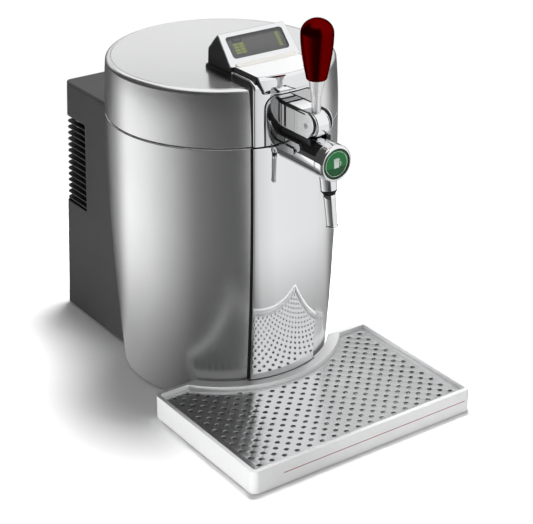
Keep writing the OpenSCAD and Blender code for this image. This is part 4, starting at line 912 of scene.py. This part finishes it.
# ---- Lid --------------------------------------------------------------------------
# A ring in the drum's satin silver, notched for the tap, with a pale grey top let into
# it.  Inside it a white liner, foam and a seal close on the deck.
top_low, top_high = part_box("lid_top")
LID_TOP = top_high.z
TOP_R = (top_high.x - top_low.x) / 2
TOP_T = top_high.z - top_low.z
LID_FOOT_R = shell_r(SHELL_TOP)
LID_DRAW = 0.0026
LID_WALL = 0.0022
RIM_ROUND = 0.005
RIM_Z = LID_TOP - RIM_ROUND
LID_RIM_R = LID_FOOT_R - LID_DRAW
NOTCH_GAP = 0.0002


def lid_r(z):
    return LID_FOOT_R - LID_DRAW * ((z - SEAM_Z) / (RIM_Z - SEAM_Z)) ** 2


ring = lathe(arc((LID_FOOT_R - 0.0008, SEAM_Z + 0.0008), 0.0008, -80, -8, 4)
             + [(lid_r(z), z) for z in span(SEAM_Z + 0.001, RIM_Z, 16)]
             + arc((LID_RIM_R - RIM_ROUND, RIM_Z), RIM_ROUND, 6, 90, 12)
             + arc((TOP_R + 0.0007, LID_TOP - 0.0005), 0.0005, 90, 180, 4)
             + [(TOP_R + 0.0002, LID_TOP - TOP_T - 0.0002), (TOP_R - 0.004, LID_TOP - TOP_T - 0.0002),
                (TOP_R - 0.004, LID_TOP - 2 * TOP_T), (LID_RIM_R - RIM_ROUND, LID_TOP - 2 * TOP_T)]
             + [(lid_r(z) - LID_WALL, z) for z in span(RIM_Z - 0.002, SEAM_Z, 12)], steps=240)
notch_out = SEAL_W + NOTCH_GAP
notch = arch(ARCH_W / 2 + notch_out, SEAM_Z - 0.01, ARCH_TOP + notch_out, ARCH_ROUND + SEAL_W)
ring = cut(ring, prism(notch, -0.2, 0, "y"))
piece("ring", ring, satin, "lid", "silver_shell", "lid_ring")
lid_grey = Finish("pale_grey_satin", (0.86, 0.862, 0.866), 0.9)
lid_grey.rough(0.19, 0.22, 500)
lid_grey.tint((0.83, 0.832, 0.836), 9)
top = lathe([(0, LID_TOP - TOP_T), (TOP_R - 0.0003, LID_TOP - TOP_T),
             (TOP_R, LID_TOP - TOP_T + 0.0003)]
            + arc((TOP_R - 0.0006, LID_TOP - 0.0006), 0.0006, 10, 90, 5)
            + [(r, LID_TOP) for r in span(TOP_R - 0.004, 0, 12)], steps=240)
piece("top", top, lid_grey, "lid", "lid_grey", "lid_top")
dress("lid_liner", white_plastic, 0.0006)
dress("lid_foam", foam, 0)
dress("lid_seal", rubber, 0.0006)


# ---- Column's upper part on the lid -----------------------------------------------
# The chrome column goes on up the lid's front, arched round the tap plate.  It rolls over
# the rim and runs back to the display as two narrow strips beside the nose.
ribbon_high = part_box("lid_column")[1]
head_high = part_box("head_frame")[1]
RIBBON_ROUND = 0.009
RIBBON_TOP = LID_TOP + 0.0094
RIBBON_T = 0.0025
BODY_OUT = 0.0005
POCKET_Z = LID_TOP - 0.0046
POCKET_X = 0.0399
POCKET_TAPER = 0.006
DISPLAY_Y = ribbon_high.y - DRUM_Y + SEAT_GAP
roll_z = RIBBON_TOP - RIBBON_ROUND
climb = roll_z - SEAM_Z
roll = RIBBON_ROUND * pi / 2


def ribbon_path(v):
    """Radius, height and outward direction of the ribbon's face, a length v along it."""
    if v <= climb:
        return COLUMN_R, SEAM_Z + v, 1.0, 0.0
    a = min((v - climb) / RIBBON_ROUND, pi / 2)
    along = max(0.0, v - climb - roll)
    return (COLUMN_R - RIBBON_ROUND + RIBBON_ROUND * cos(a) - along,
            roll_z + RIBBON_ROUND * sin(a), cos(a), sin(a))


def bend_ribbon(u, v, w):
    r, z, out, up = ribbon_path(v)
    return on_drum(u, r - out * w, z - up * w)


def bend_body(u, v, w):
    """The black body fills the room between the ribbon and the lid."""
    r, z, out, up = ribbon_path(v)
    r, z = r - out * (RIBBON_T + 0.0001), z - up * (RIBBON_T + 0.0001)
    if v <= climb:
        z_in = min(z, RIM_Z)
        inner = (lid_r(z_in) + SEAT_GAP, z_in)
    elif v <= climb + roll:
        b = (v - climb) / roll * pi / 2
        inner = (LID_RIM_R - RIM_ROUND + (RIM_ROUND + SEAT_GAP) * cos(b),
                 RIM_Z + (RIM_ROUND + SEAT_GAP) * sin(b))
    else:
        inner = (min(r, LID_RIM_R - RIM_ROUND), LID_TOP + SEAT_GAP)
    return on_drum(u, r + (inner[0] - r) * w / RIBBON_T, z + (inner[1] - z) * w / RIBBON_T)


ribbon_end = climb + roll + COLUMN_R - RIBBON_ROUND - hypot(DISPLAY_Y, COLUMN_W / 2)
pocket_v = climb + POCKET_Z - roll_z
notch_x = ARCH_W / 2 + notch_out
notch_v = ARCH_TOP + notch_out - SEAM_Z
notch_r = ARCH_ROUND + notch_out


def ribbon_outline(half, pocket, notch):
    """Flat outline of the ribbon: a strip up each side, joined under the nose."""
    x, r = notch_x + notch, notch_r
    side = [(pocket - POCKET_TAPER * t ** 1.4, climb + roll + (pocket_v + 0.003 - climb - roll) * t)
            for t in span(0, 1, 8)]
    foot = pocket - POCKET_TAPER - 0.003
    return ([(-half, 0), (-half, ribbon_end), (-pocket, ribbon_end)] + [(-u, v) for u, v in side]
            + arc((-foot, pocket_v + 0.003), 0.003, 190, 270, 4)
            + arc((foot, pocket_v + 0.003), 0.003, -90, -10, 4) + side[::-1]
            + [(pocket, ribbon_end), (half, ribbon_end), (half, 0), (x, 0)]
            + arc((x - r, notch_v + notch - r), r, 0, 90, 10)
            + arc((r - x, notch_v + notch - r), r, 90, 180, 10) + [(-x, 0)])


ribbon = pressed(ribbon_outline(COLUMN_W / 2, POCKET_X, 0), RIBBON_T, 0.0009, bend_ribbon)
piece("upper_column", ribbon, chrome, "lid", "chrome", "lid_column")
under = pressed(ribbon_outline(COLUMN_W / 2 + BODY_OUT, POCKET_X + 0.0001, 0.0003), RIBBON_T,
                0.0003, bend_body)
piece("ribbon_body", under, black_plastic, "lid", "black_trim")


# ---- Nose -------------------------------------------------------------------------
# A chrome cap, pressed with a crease along its front edge and brushed on top, sits on a
# black body that stands out round it as a dark band.  A pale step joins it to the display.
nose_low, nose_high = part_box("nose_cap")
NOSE_X = nose_high.x
NOSE_R = -(nose_low.y - DRUM_Y)
NOSE_TOP = nose_high.z
NOSE_FOOT = nose_low.z
CREASE_R = NOSE_R - 0.0022
NOSE_T = 0.0013
NOSE_TAPER = 0.0055
NOSE_ROUND = 0.005
CORE_T = 0.005
CORE_OUT = 0.0016
BOW_R = 0.12
FACE_STEPS = 40
face_rows = [(CREASE_R, NOSE_TOP), (CREASE_R + 0.0001, NOSE_TOP - 0.0005),
             (CREASE_R + 0.0006, NOSE_TOP - 0.0005), (CREASE_R + 0.0012, NOSE_TOP - 0.0013),
             (CREASE_R + 0.0017, NOSE_TOP - 0.0035), (NOSE_R - 0.00005, NOSE_TOP - 0.008),
             (NOSE_R, NOSE_TOP - 0.0125), (NOSE_R - 0.0004, NOSE_TOP - 0.0165),
             (NOSE_R - 0.0012, NOSE_FOOT + 0.0012), (NOSE_R - 0.0022, NOSE_FOOT)]


def smooth_path(points, count):
    """Evenly spaced points on a smooth curve through the given ones, by length."""
    curve = []
    for i in range(len(points) - 1):
        p0, p1 = points[max(i - 1, 0)], points[i]
        p2, p3 = points[i + 1], points[min(i + 2, len(points) - 1)]
        for t in span(0, 1, 12)[:-1]:
            curve.append(tuple(0.5 * (2 * b + (c - a) * t + (2 * a - 5 * b + 4 * c - d) * t * t
                                      + (3 * b - a - 3 * c + d) * t ** 3)
                               for a, b, c, d in zip(p0, p1, p2, p3)))
    curve.append(points[-1])
    lengths = [0.0]
    for a, b in zip(curve, curve[1:]):
        lengths.append(lengths[-1] + hypot(b[0] - a[0], b[1] - a[1]))
    total, out, j = lengths[-1], [], 0
    for i in range(count + 1):
        goal = total * i / count
        while j < len(curve) - 2 and lengths[j + 1] < goal:
            j += 1
        t = (goal - lengths[j]) / max(lengths[j + 1] - lengths[j], 1e-9)
        out.append(tuple(a + (b - a) * min(t, 1) for a, b in zip(curve[j], curve[j + 1])))
    return out, total


face_curve, face_len = smooth_path(face_rows, FACE_STEPS)


def bend_nose(u, v, w):
    """Places a point of the flat cap: v runs down its front from the crease, or back.

    Nearer the axis than BOW_R, the rows across its top all keep the same bow."""
    if v <= 0:
        r = CREASE_R + v
        if r > BOW_R:
            return on_drum(u, r, NOSE_TOP - w)
        return Vector((u, -sqrt(BOW_R ** 2 - u * u) + BOW_R - r, NOSE_TOP - w))
    i = min(int(v / face_len * FACE_STEPS), FACE_STEPS - 1)
    t = v / face_len * FACE_STEPS - i
    (r0, z0), (r1, z1) = face_curve[i], face_curve[i + 1]
    length = max(hypot(r1 - r0, z1 - z0), 1e-9)
    nr, nz = (z0 - z1) / length, (r1 - r0) / length
    return on_drum(u, r0 + (r1 - r0) * t - nr * w, z0 + (z1 - z0) * t - nz * w)


back_v = [(u, BOW_R - sqrt(BOW_R ** 2 - u * u) - CREASE_R - (DISPLAY_Y - 0.0003))
          for u in span(-NOSE_X, NOSE_X, 16)]


def nose_outline(grow):
    """Flat outline of the nose: square at the display, drawn in down its front."""
    foot = face_len + grow - NOSE_ROUND
    side = [(NOSE_X + grow - NOSE_TAPER * t ** 1.4, foot * t) for t in span(0, 1, 8)]
    x = side[-1][0] - NOSE_ROUND
    return ([(u * (NOSE_X + grow) / NOSE_X, v) for u, v in back_v] + side
            + arc((x, foot), NOSE_ROUND, 10, 90, 5) + arc((-x, foot), NOSE_ROUND, 90, 170, 5)
            + [(-u, v) for u, v in reversed(side)])


nose = pressed(nose_outline(0), NOSE_T, 0.0005, bend_nose, 0.0016)
nose = piece("nose", nose, chrome, "lid", "chrome", "nose_cap")
brushed = Finish("brushed_nose_top", (0.7, 0.702, 0.706), 0.3)
brushed.rough(0.42, 0.5, 120, (6, 1, 1))
nose.data.materials.append(brushed.material)
for face in nose.data.polygons:
    face.material_index = int(face.normal.z > 0.9 and face.center.z > NOSE_TOP - 0.0002)
core = pressed(nose_outline(CORE_OUT), CORE_T, 0.0003,
               lambda u, v, w: bend_nose(u, v, w + NOSE_T + 0.0001), 0.0024)
piece("nose_body", core, black_plastic, "lid", "black_trim", "nose_core")
# A thin black strip along the crease is painted shadow, the shade in the fold.
crease_shadow_w = 0.0006
crease = pressed([(-NOSE_X, 0), (NOSE_X, 0), (NOSE_X, crease_shadow_w), (-NOSE_X, crease_shadow_w)], 0.0003, 0.0001,
                 lambda u, v, w: bend_nose(u, v, w - 0.00008), 0.002)
piece("nose_crease_shadow", crease, black_plastic, "lid", "black_trim")
step_y = DISPLAY_Y - 0.0056
step = prism([(step_y, NOSE_TOP + 0.00005), (DISPLAY_Y + 0.0002, NOSE_TOP + 0.00005),
              (DISPLAY_Y + 0.0022, NOSE_TOP + 0.0021), (DISPLAY_Y - 0.0006, NOSE_TOP + 0.0018)],
             -NOSE_X + 0.002, NOSE_X - 0.002, "x")
warm_grey = Finish("warm_grey_step", (0.6, 0.585, 0.55), 0.3)
warm_grey.rough(0.35, 0.45, 200)
piece("nose_step", step, warm_grey, "lid", "lid_grey", edge=0.0006, segments=3)


# ---- Display head -----------------------------------------------------------------
# A black housing stands across the lid's front under a folded chrome frame.  Its smoked
# window covers a display film with plain bar segments, and a board behind it.
FACE_TILT = radians(46)
FACE_LEN = 0.039
FACE_X = head_high.x
FACE_DRAW = 0.0023
FRAME_T = 0.0022
HEAD_Z = LID_TOP + 0.0134
APEX = (DISPLAY_Y + FACE_LEN * cos(FACE_TILT), HEAD_Z + FACE_LEN * sin(FACE_TILT))
BACK_RUN, BACK_FALL = 0.0195, 0.0206
BACK_TILT = atan2(BACK_FALL, BACK_RUN)
BACK_LEN = hypot(BACK_RUN, BACK_FALL)
FOLD_R = 0.0026
WINDOW_FACE_W, WINDOW_FACE_H = 0.0692, 0.0247
WINDOW_V = (FACE_LEN - WINDOW_FACE_H) / 2 + 0.0014
turn = FACE_TILT + BACK_TILT
setback = FOLD_R * tan(turn / 2)
face_run = FACE_LEN - setback
fold_run = FOLD_R * turn
fold_y = DISPLAY_Y + face_run * cos(FACE_TILT) + FOLD_R * sin(FACE_TILT)
fold_z = HEAD_Z + face_run * sin(FACE_TILT) - FOLD_R * cos(FACE_TILT)


def bend_frame(u, v, w):
    """Places a point of the flat frame: up the face, over the fold and down the back."""
    if v <= face_run:
        y, z, a = DISPLAY_Y + v * cos(FACE_TILT), HEAD_Z + v * sin(FACE_TILT), FACE_TILT
    elif v <= face_run + fold_run:
        a = FACE_TILT - (v - face_run) / FOLD_R
        y, z = fold_y - FOLD_R * sin(a), fold_z + FOLD_R * cos(a)
    else:
        a = -BACK_TILT
        rest = v - face_run - fold_run
        y, z = fold_y - FOLD_R * sin(a) + rest * cos(a), fold_z + FOLD_R * cos(a) + rest * sin(a)
    return Vector((u, y + w * sin(a), z - w * cos(a)))


frame_len = face_run + fold_run + BACK_LEN - setback
top_x = FACE_X - FACE_DRAW
corner = 0.0022
flat = ([(corner - FACE_X, 0), (FACE_X - corner, 0), (FACE_X - 0.0005, 0.0009), (FACE_X, corner)]
        + [(top_x, face_run), (top_x, frame_len - corner), (top_x - 0.0006, frame_len - 0.0006),
           (top_x - corner, frame_len), (corner - top_x, frame_len),
           (0.0006 - top_x, frame_len - 0.0006), (-top_x, frame_len - corner), (-top_x, face_run)]
        + [(-FACE_X, corner), (0.0005 - FACE_X, 0.0009)])
window = [(u, WINDOW_V + v) for u, v in rounded_rectangle(
    WINDOW_FACE_W / 2, 0, WINDOW_FACE_H, 0.0034)]
bezel = pressed(flat, 0.0011, 0.0005, bend_frame, 0.0012, holes=[window])
piece("bezel", bezel, chrome, "lid", "chrome", "head_frame")

on_face = Matrix.Translation((0, DISPLAY_Y, HEAD_Z)) @ Matrix.Rotation(FACE_TILT, 4, "X")
HEAD_X = 0.0403
head_back = APEX[0] + BACK_RUN
shape = [(DISPLAY_Y + 0.0016, LID_TOP + SEAT_GAP), (DISPLAY_Y + 0.0016, HEAD_Z),
         (APEX[0] + 0.0001, APEX[1] - 0.0021), (head_back - 0.0012, APEX[1] - BACK_FALL),
         (head_back - 0.0002, LID_TOP + SEAT_GAP)]
pocket_w = WINDOW_FACE_W / 2 + 0.0015
pocket = block((-pocket_w, pocket_w), (WINDOW_V - 0.002, WINDOW_V + WINDOW_FACE_H + 0.002),
               (-0.012, 0.01))
cheeks = cut(prism(shape, -HEAD_X, HEAD_X, "x"), moved(pocket, on_face))
piece("head_cheeks", cheeks, black_plastic, "lid", "black_trim", "head_housing", edge=0.0004)
strip_x = HEAD_X + 0.0014
skirt = prism([(DISPLAY_Y + 0.0002, LID_TOP + SEAT_GAP), (DISPLAY_Y + 0.0002, LID_TOP + 0.0054),
               (head_back + 0.0014, LID_TOP + 0.0054), (head_back + 0.0028, LID_TOP + SEAT_GAP)],
              -strip_x, strip_x, "x")
piece("head_skirt", skirt, black_plastic, "lid", "black_trim", edge=0.0006)

smoked = Finish("smoked_window", (0.13, 0.13, 0.135), Alpha=0.35)
smoked.rough(0.03, 0.06, 50)
glass = prism([(u, WINDOW_V + v) for u, v in rounded_rectangle(
    WINDOW_FACE_W / 2 - 0.00015, 0.00015, WINDOW_FACE_H - 0.00015, 0.0032)],
    -FRAME_T + 0.0001, -FRAME_T + 0.0016)
piece("window", moved(glass, on_face), smoked, "lid", "window", "display_window", edge=0.0002)
lcd_film = Finish("display_film", (0.27, 0.272, 0.27))
lcd_film.rough(0.3, 0.4, 300)
lcd_film.tint((0.2, 0.202, 0.2), 22)
dress("lcd_panel", lcd_film, 0.0002)
lit_segment = Finish("lit_segment", (0.5, 0.6, 0.1), Emission_Color=(0.5, 0.6, 0.1, 1),
                     Emission_Strength=0.35)
lit_segment.rough(0.4, 0.5, 400)
dark_segment = Finish("dark_segment", (0.03, 0.03, 0.03))
dark_segment.rough(0.4, 0.5, 400)
film_z = -FRAME_T - SEAT_GAP


def segment(bm, u, v, w, h):
    """One bar of the display, at its middle on the face."""
    corners = rounded_rectangle(w / 2, -h / 2, h / 2, min(w, h) * 0.25, 3)
    add(bm, prism([(u + x, v + y) for x, y in corners], film_z - 0.0002, film_z + 0.00015))


lit_bars = bmesh.new()
keg_u, keg_w = -0.0212, 0.0134
for row in range(4):
    for column in (-1, 1):
        segment(lit_bars, keg_u + column * keg_w / 4, WINDOW_V + 0.0065 + row * 0.0031,
                keg_w / 2 - 0.0009, 0.0022)
level_u = 0.0275
for row in range(6):
    segment(lit_bars, level_u, WINDOW_V + 0.0058 + row * 0.0028, 0.0042, 0.0018)
piece("lit_bars", moved(lit_bars, on_face), lit_segment, "lid", "lcd")
marks = bmesh.new()
segment(marks, keg_u, WINDOW_V + 0.0192, keg_w * 0.8, 0.0013)
for side in (-1, 1):
    segment(marks, keg_u + side * keg_w * 0.38, WINDOW_V + 0.0205, 0.0014, 0.0026)
piece("keg_mark", moved(marks, on_face), dark_segment, "lid", "lcd")
dress("display_board", solder_mask, 0)


# ---- Drip tray --------------------------------------------------------------------
# A loose moulded tray with a bright silver coat stands before the drum, with a bay for
# it.  A lift-out grid of punched steel rests on a ledge inside its rim.
tray_low, tray_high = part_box("tray_pan")
TRAY_X = tray_high.x
LINE_PROUD = 0.00003
TRAY_FRONT = tray_low.y - DRUM_Y + LINE_PROUD
TRAY_BACK = tray_high.y - DRUM_Y
TRAY_Z = tray_low.z
TRAY_TOP = tray_high.z
TRAY_ROUND = 0.008
RIM_W = 0.005
BAY_R = shell_r(TRAY_TOP) + 0.0026
LEDGE_R = BAY_R + 0.0132
COLUMN_BAY_R = column_r(COLUMN_FOOT) + GAP
GRID_T = 0.0016
GRID_DROP = 0.00475
HOLE_R = 0.0025
HOLE_PITCH = 0.0157
grid_z = TRAY_TOP - GRID_DROP - GRID_T


def tray_plan(inset, bay, column_bay, z):
    """The tray's outline, drawn in by inset, with its bay for the drum and column."""
    x, front, back = TRAY_X - inset, TRAY_FRONT + inset, TRAY_BACK - inset
    r = max(0.001, TRAY_ROUND - inset)
    a0 = acos(-back / bay)
    a1 = asin((COLUMN_W / 2 + 0.0014 + inset) / bay)
    deep = max(bay, column_bay)
    points = arc((r - x, front + r), r, 180, 270) + arc((x - r, front + r), r, 270, 360)
    points += arc((x - r, back - r), r, 0, 90)
    for radius, start, end in ((bay, a0, a1), (deep, a1, -a1), (bay, -a1, -a0)):
        points += [(radius * sin(a), -radius * cos(a)) for a in span(start, end, 24)]
    points += arc((r - x, back - r), r, 90, 180)
    return [(u, v, z) for u, v in points]


def outside(inset, z):
    return tray_plan(inset, BAY_R + inset, COLUMN_BAY_R + inset, z)


def inside(inset, z):
    """The outline inside the rim, where the bay runs on in front of the column."""
    return tray_plan(RIM_W + inset, LEDGE_R + inset, 0, z)


tray_silver = Finish("tray_silver_coat", (0.9, 0.902, 0.905), 0.15)
tray_silver.rough(0.28, 0.34, 60)
tray_silver.tint((0.87, 0.872, 0.876), 16)
fillet = 0.0008
easing = [(fillet * sin(radians(a)), fillet * (1 - cos(radians(a)))) for a in (0, 30, 60, 90)]
rows = [outside(fillet, TRAY_Z), outside(fillet * 0.3, TRAY_Z + 0.3 * fillet)]
rows += [outside(0, TRAY_Z + fillet)]
rows += [outside(0, z) for z in span(TRAY_Z + 0.004, TRAY_TOP - fillet, 4)]
rows += [outside(d, TRAY_TOP - fillet + h) for h, d in easing[1:]]
rows += [inside(-d, TRAY_TOP - fillet + h) for h, d in reversed(easing)]
rows += [inside(0, grid_z - 0.0002), inside(0.004, grid_z - 0.0002), inside(0.004, grid_z - 0.0022),
         inside(0.004, TRAY_Z + 0.0052), inside(0.0052, TRAY_Z + 0.004)]
feet_low, feet_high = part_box("tray_feet")
foot_r = 0.007
foot_x = feet_high.x - foot_r
foot_y = (feet_low.y - DRUM_Y + foot_r, feet_high.y - DRUM_Y - foot_r)
sockets = [prism(circle((x, y), foot_r + SEAT_GAP, 30), -0.001, feet_high.z + SEAT_GAP)
           for x in (-foot_x, foot_x) for y in foot_y]
tray = cut(stack(rows), *sockets)
piece("pan", tray, tray_silver, "tray", "tray_silver", "tray_pan")
dress("tray_feet", rubber, 0.0003)
stripe_red = Finish("printed_red_line", (0.3, 0.01, 0.02))
stripe_red.rough(0.3, 0.45, 400)
stripe = prism([(-0.1055, 0.0142), (0.1338, 0.0142), (0.1338, 0.0151), (-0.1055, 0.0151)],
               TRAY_FRONT - LINE_PROUD, TRAY_FRONT + 0.0003, "y")
piece("tray_line", stripe, stripe_red, "tray", "handle_red")

grid_steel = Finish("brushed_grid_steel", (0.74, 0.745, 0.75), 1.0)
grid_steel.rough(0.18, 0.26, 60, (14, 1, 1))
grid_steel.bump(0.00001, 0.25, 700, (40, 1, 1))
holes_x = int((TRAY_X - RIM_W - 0.01) / HOLE_PITCH)
holes_y = int((TRAY_BACK - TRAY_FRONT - 2 * RIM_W - 0.014) / HOLE_PITCH)
mid_y = (TRAY_FRONT + TRAY_BACK) / 2 + 0.0007
centres = []
for shift in (0, 1):
    for i in range(-holes_x, holes_x + 1 - shift):
        for j in range(holes_y + 1 - shift):
            x = (i + shift / 2) * HOLE_PITCH
            y = mid_y + (j - holes_y / 2 + shift / 2) * HOLE_PITCH
            if hypot(x, y) > LEDGE_R + 2 * HOLE_R:
                centres.append((x, y))
grid = bmesh.new()
grid_top = grid_z + GRID_T
ease = 0.0004


def verts(points):
    return [grid.verts.new(point) for point in points]


def hole(x, y, r, z):
    return verts((u, v, z) for u, v in circle((x, y), r, 20))


def fill(loops, up):
    """Closes a flat outline that has holes in it."""
    edges = [grid.edges.get((a, b)) or grid.edges.new((a, b))
             for loop in loops for a, b in zip(loop, loop[1:] + loop[:1])]
    bmesh.ops.triangle_fill(grid, use_beauty=True, edges=edges, normal=(0, 0, up))


walls = [[verts(inside(0.0002 + d, z)) for d, z in (
    (ease, grid_top), (0, grid_top - ease), (0, grid_z))]]
for x, y in centres:
    walls.append([hole(x, y, HOLE_R + ease, grid_top), hole(x, y, HOLE_R, grid_top - ease),
                  hole(x, y, HOLE_R, grid_z)])
for rings in walls:
    sides(grid, rings)
fill([rings[0] for rings in walls], 1)
fill([rings[-1] for rings in walls], -1)
piece("grid", grid, grid_steel, "grid", "grid_steel", "tray_grid")


# ---- Floor and studio light -------------------------------------------------------
# A pale floor runs out into white, and metal sees it with painted light and dark bands round
# the drum and a painted shadow close to the drum.  Two curved cards that only reflections
# see stand behind and before it, and it is lit by one soft box above and two low ones.
floor = Finish("studio_floor", (0.8, 0.8, 0.8), Roughness=0.9, Specular_IOR_Level=0.0)
BAND_START = -220
BANDS = [(-180, 0.06), (-152, 0.34), (-134, 1.12), (-105, 0.9), (-80, 0.54), (-58, 0.2),
         (-40, 0.14), (-13, 0.08), (-2, 0.75), (12, 0.9), (80, 0.85), (95, 0.2)]
WHITE = (1, 1, 1, 1)


def from_drum(turn_by=0.0):
    """Places on the floor as seen from the drum's axis."""
    mapping = add_node(floor.tree, "ShaderNodeMapping", {
        "Vector": floor.place, "Location": (0, DRUM_Y, 0), "Rotation": (0, 0, turn_by)},
        vector_type="TEXTURE")
    return mapping.outputs["Vector"]


def fade(value, near, far, low, high):
    """A soft step from low to high as a value goes from near to far."""
    ramp = add_node(floor.tree, "ShaderNodeMapRange", {
        "Value": value, "From Min": near, "From Max": far, "To Min": low, "To Max": high},
        interpolation_type="SMOOTHSTEP")
    return ramp.outputs["Result"]


def glow(tree, colour=WHITE, strength=1.0):
    emission = add_node(tree, "ShaderNodeEmission", {"Color": colour, "Strength": strength})
    return emission.outputs["Emission"]


def mixed(tree, factor, first, second):
    mix = add_node(tree, "ShaderNodeMixShader", {"Fac": factor, 1: first, 2: second})
    return mix.outputs["Shader"]


def toned(tree, value, tones, low=0.0):
    """Greys that follow a value through (place, tone) pairs, from a lowest place upward."""
    far = tones[-1][0]
    even = add_node(tree, "ShaderNodeMapRange", {"Value": value, "From Min": low, "From Max": far})
    greys = add_node(tree, "ShaderNodeValToRGB", {"Fac": even.outputs["Result"]})
    stops = greys.color_ramp.elements
    while len(stops) < len(tones):
        stops.new(0.5)
    for i, (place, tone) in enumerate(tones):
        stops[i].position = (place - low) / (far - low)
        stops[i].color = (tone, tone, tone, 1)
    return greys.outputs["Color"]


compass = add_node(floor.tree, "ShaderNodeTexGradient", {
    "Vector": from_drum(radians(BAND_START + 90))}, gradient_type="RADIAL")
degrees_round = add_node(floor.tree, "ShaderNodeMapRange", {
    "Value": compass.outputs["Fac"], "To Min": BAND_START, "To Max": BAND_START + 360})
bands = toned(floor.tree, degrees_round.outputs["Result"], BANDS, BAND_START)
distance = add_node(floor.tree, "ShaderNodeVectorMath", {0: from_drum()}, operation="LENGTH")
from_axis = distance.outputs["Value"]
# Metal sees the floor darker near the drum: a painted shadow round its foot.
mirrored_with_painted_shadow = glow(floor.tree, bands, fade(from_axis, 0.13, 0.5, 0.36, 1.0))
bright = add_node(floor.tree, "ShaderNodeBsdfDiffuse", {"Color": (0.5, 0.5, 0.5, 1)})
matt = floor.shader.outputs["BSDF"]
lit = add_node(floor.tree, "ShaderNodeAddShader", {0: matt, 1: bright.outputs["BSDF"]})
seen = mixed(floor.tree, fade(from_axis, 0.3, 0.75, 0.0, 1.0), lit.outputs["Shader"],
             glow(floor.tree))
rays = add_node(floor.tree, "ShaderNodeLightPath", {}).outputs
unseen = mixed(floor.tree, rays["Is Glossy Ray"], matt, mirrored_with_painted_shadow)
floor.tree.links.new(mixed(floor.tree, rays["Is Camera Ray"], unseen, seen),
                     floor.tree.nodes["Material Output"].inputs["Surface"])


def card(name, corners, finish):
    mesh = bpy.data.meshes.new(name)
    mesh.from_pydata(corners, [], [range(len(corners))])
    mesh.materials.append(finish.material)
    obj = bpy.data.objects.new(name, mesh)
    scene.collection.objects.link(obj)
    return obj


def studio_card(name, radius, start, end, tones):
    """A curved card round the drum that only reflections see, in tones by height."""
    finish = Finish(name, (0.5, 0.5, 0.5))
    upright = add_node(finish.tree, "ShaderNodeSeparateXYZ", {"Vector": finish.place})
    paper = glow(finish.tree, toned(finish.tree, upright.outputs["Z"], tones))
    finish.tree.links.new(paper, finish.tree.nodes["Material Output"].inputs["Surface"])
    top = tones[-1][0]
    feet = [(radius * sin(radians(a)), DRUM_Y - radius * cos(radians(a)))
            for a in span(start, end, 12)]
    for i, (left, right) in enumerate(zip(feet, feet[1:])):
        obj = card(f"{name}_{i}", [(*left, 0.02), (*right, 0.02), (*right, top), (*left, top)], finish)
        obj.visible_camera = False
        obj.visible_diffuse = False
        obj.visible_shadow = False
        obj.visible_transmission = False


FLOOR = 6.0
card("floor", [(-FLOOR, -FLOOR, 0), (FLOOR, -FLOOR, 0), (FLOOR, FLOOR, 0), (-FLOOR, FLOOR, 0)], floor)
studio_card("back_card", 0.9, 90, 200, [(0.3, 0.1), (0.5, 0.4), (0.58, 0.95), (0.68, 0.85),
                                        (0.74, 0.3), (0.8, 0.6), (0.86, 1.0), (1.1, 1.0)])
studio_card("front_card", 1.6, -170, -4, [(0.0, 0.06), (2.4, 0.07), (3.0, 0.6)])

world = bpy.data.worlds.new("studio")
world.use_nodes = True
scene.world = world
tree = world.node_tree
sky = tree.nodes["Background"]
sky.inputs["Color"].default_value = WHITE
sky.inputs["Strength"].default_value = 0.14
white = add_node(tree, "ShaderNodeBackground", {"Color": WHITE})
sky_rays = add_node(tree, "ShaderNodeLightPath", {}).outputs
shown = sky_rays["Is Camera Ray"]
for ray in ("Is Glossy Ray", "Is Transmission Ray"):
    either = add_node(tree, "ShaderNodeMath", {0: shown, 1: sky_rays[ray]}, operation="MAXIMUM")
    shown = either.outputs["Value"]
tree.links.new(mixed(tree, shown, sky.outputs["Background"], white.outputs["Background"]),
               tree.nodes["World Output"].inputs["Surface"])


def softbox(name, place, aim, size, power):
    data = bpy.data.lights.new(name, "AREA")
    data.shape = "RECTANGLE"
    data.size, data.size_y = size
    data.energy = power
    light = bpy.data.objects.new(name, data)
    light.location = place
    light.rotation_euler = (Vector(aim) - Vector(place)).to_track_quat("-Z", "Y").to_euler()
    light.visible_glossy = False
    scene.collection.objects.link(light)


softbox("key", (0.3, 0.2, 1.7), (0, 0, 0.1), (0.5, 0.5), 33)
softbox("fill_left", (-1.4, -0.35, 0.07), (0, 0, 0.07), (1.2, 0.1), 16)
softbox("fill_front", (0.5, -1.5, 0.1), (0, 0, 0.06), (1.2, 0.16), 5)
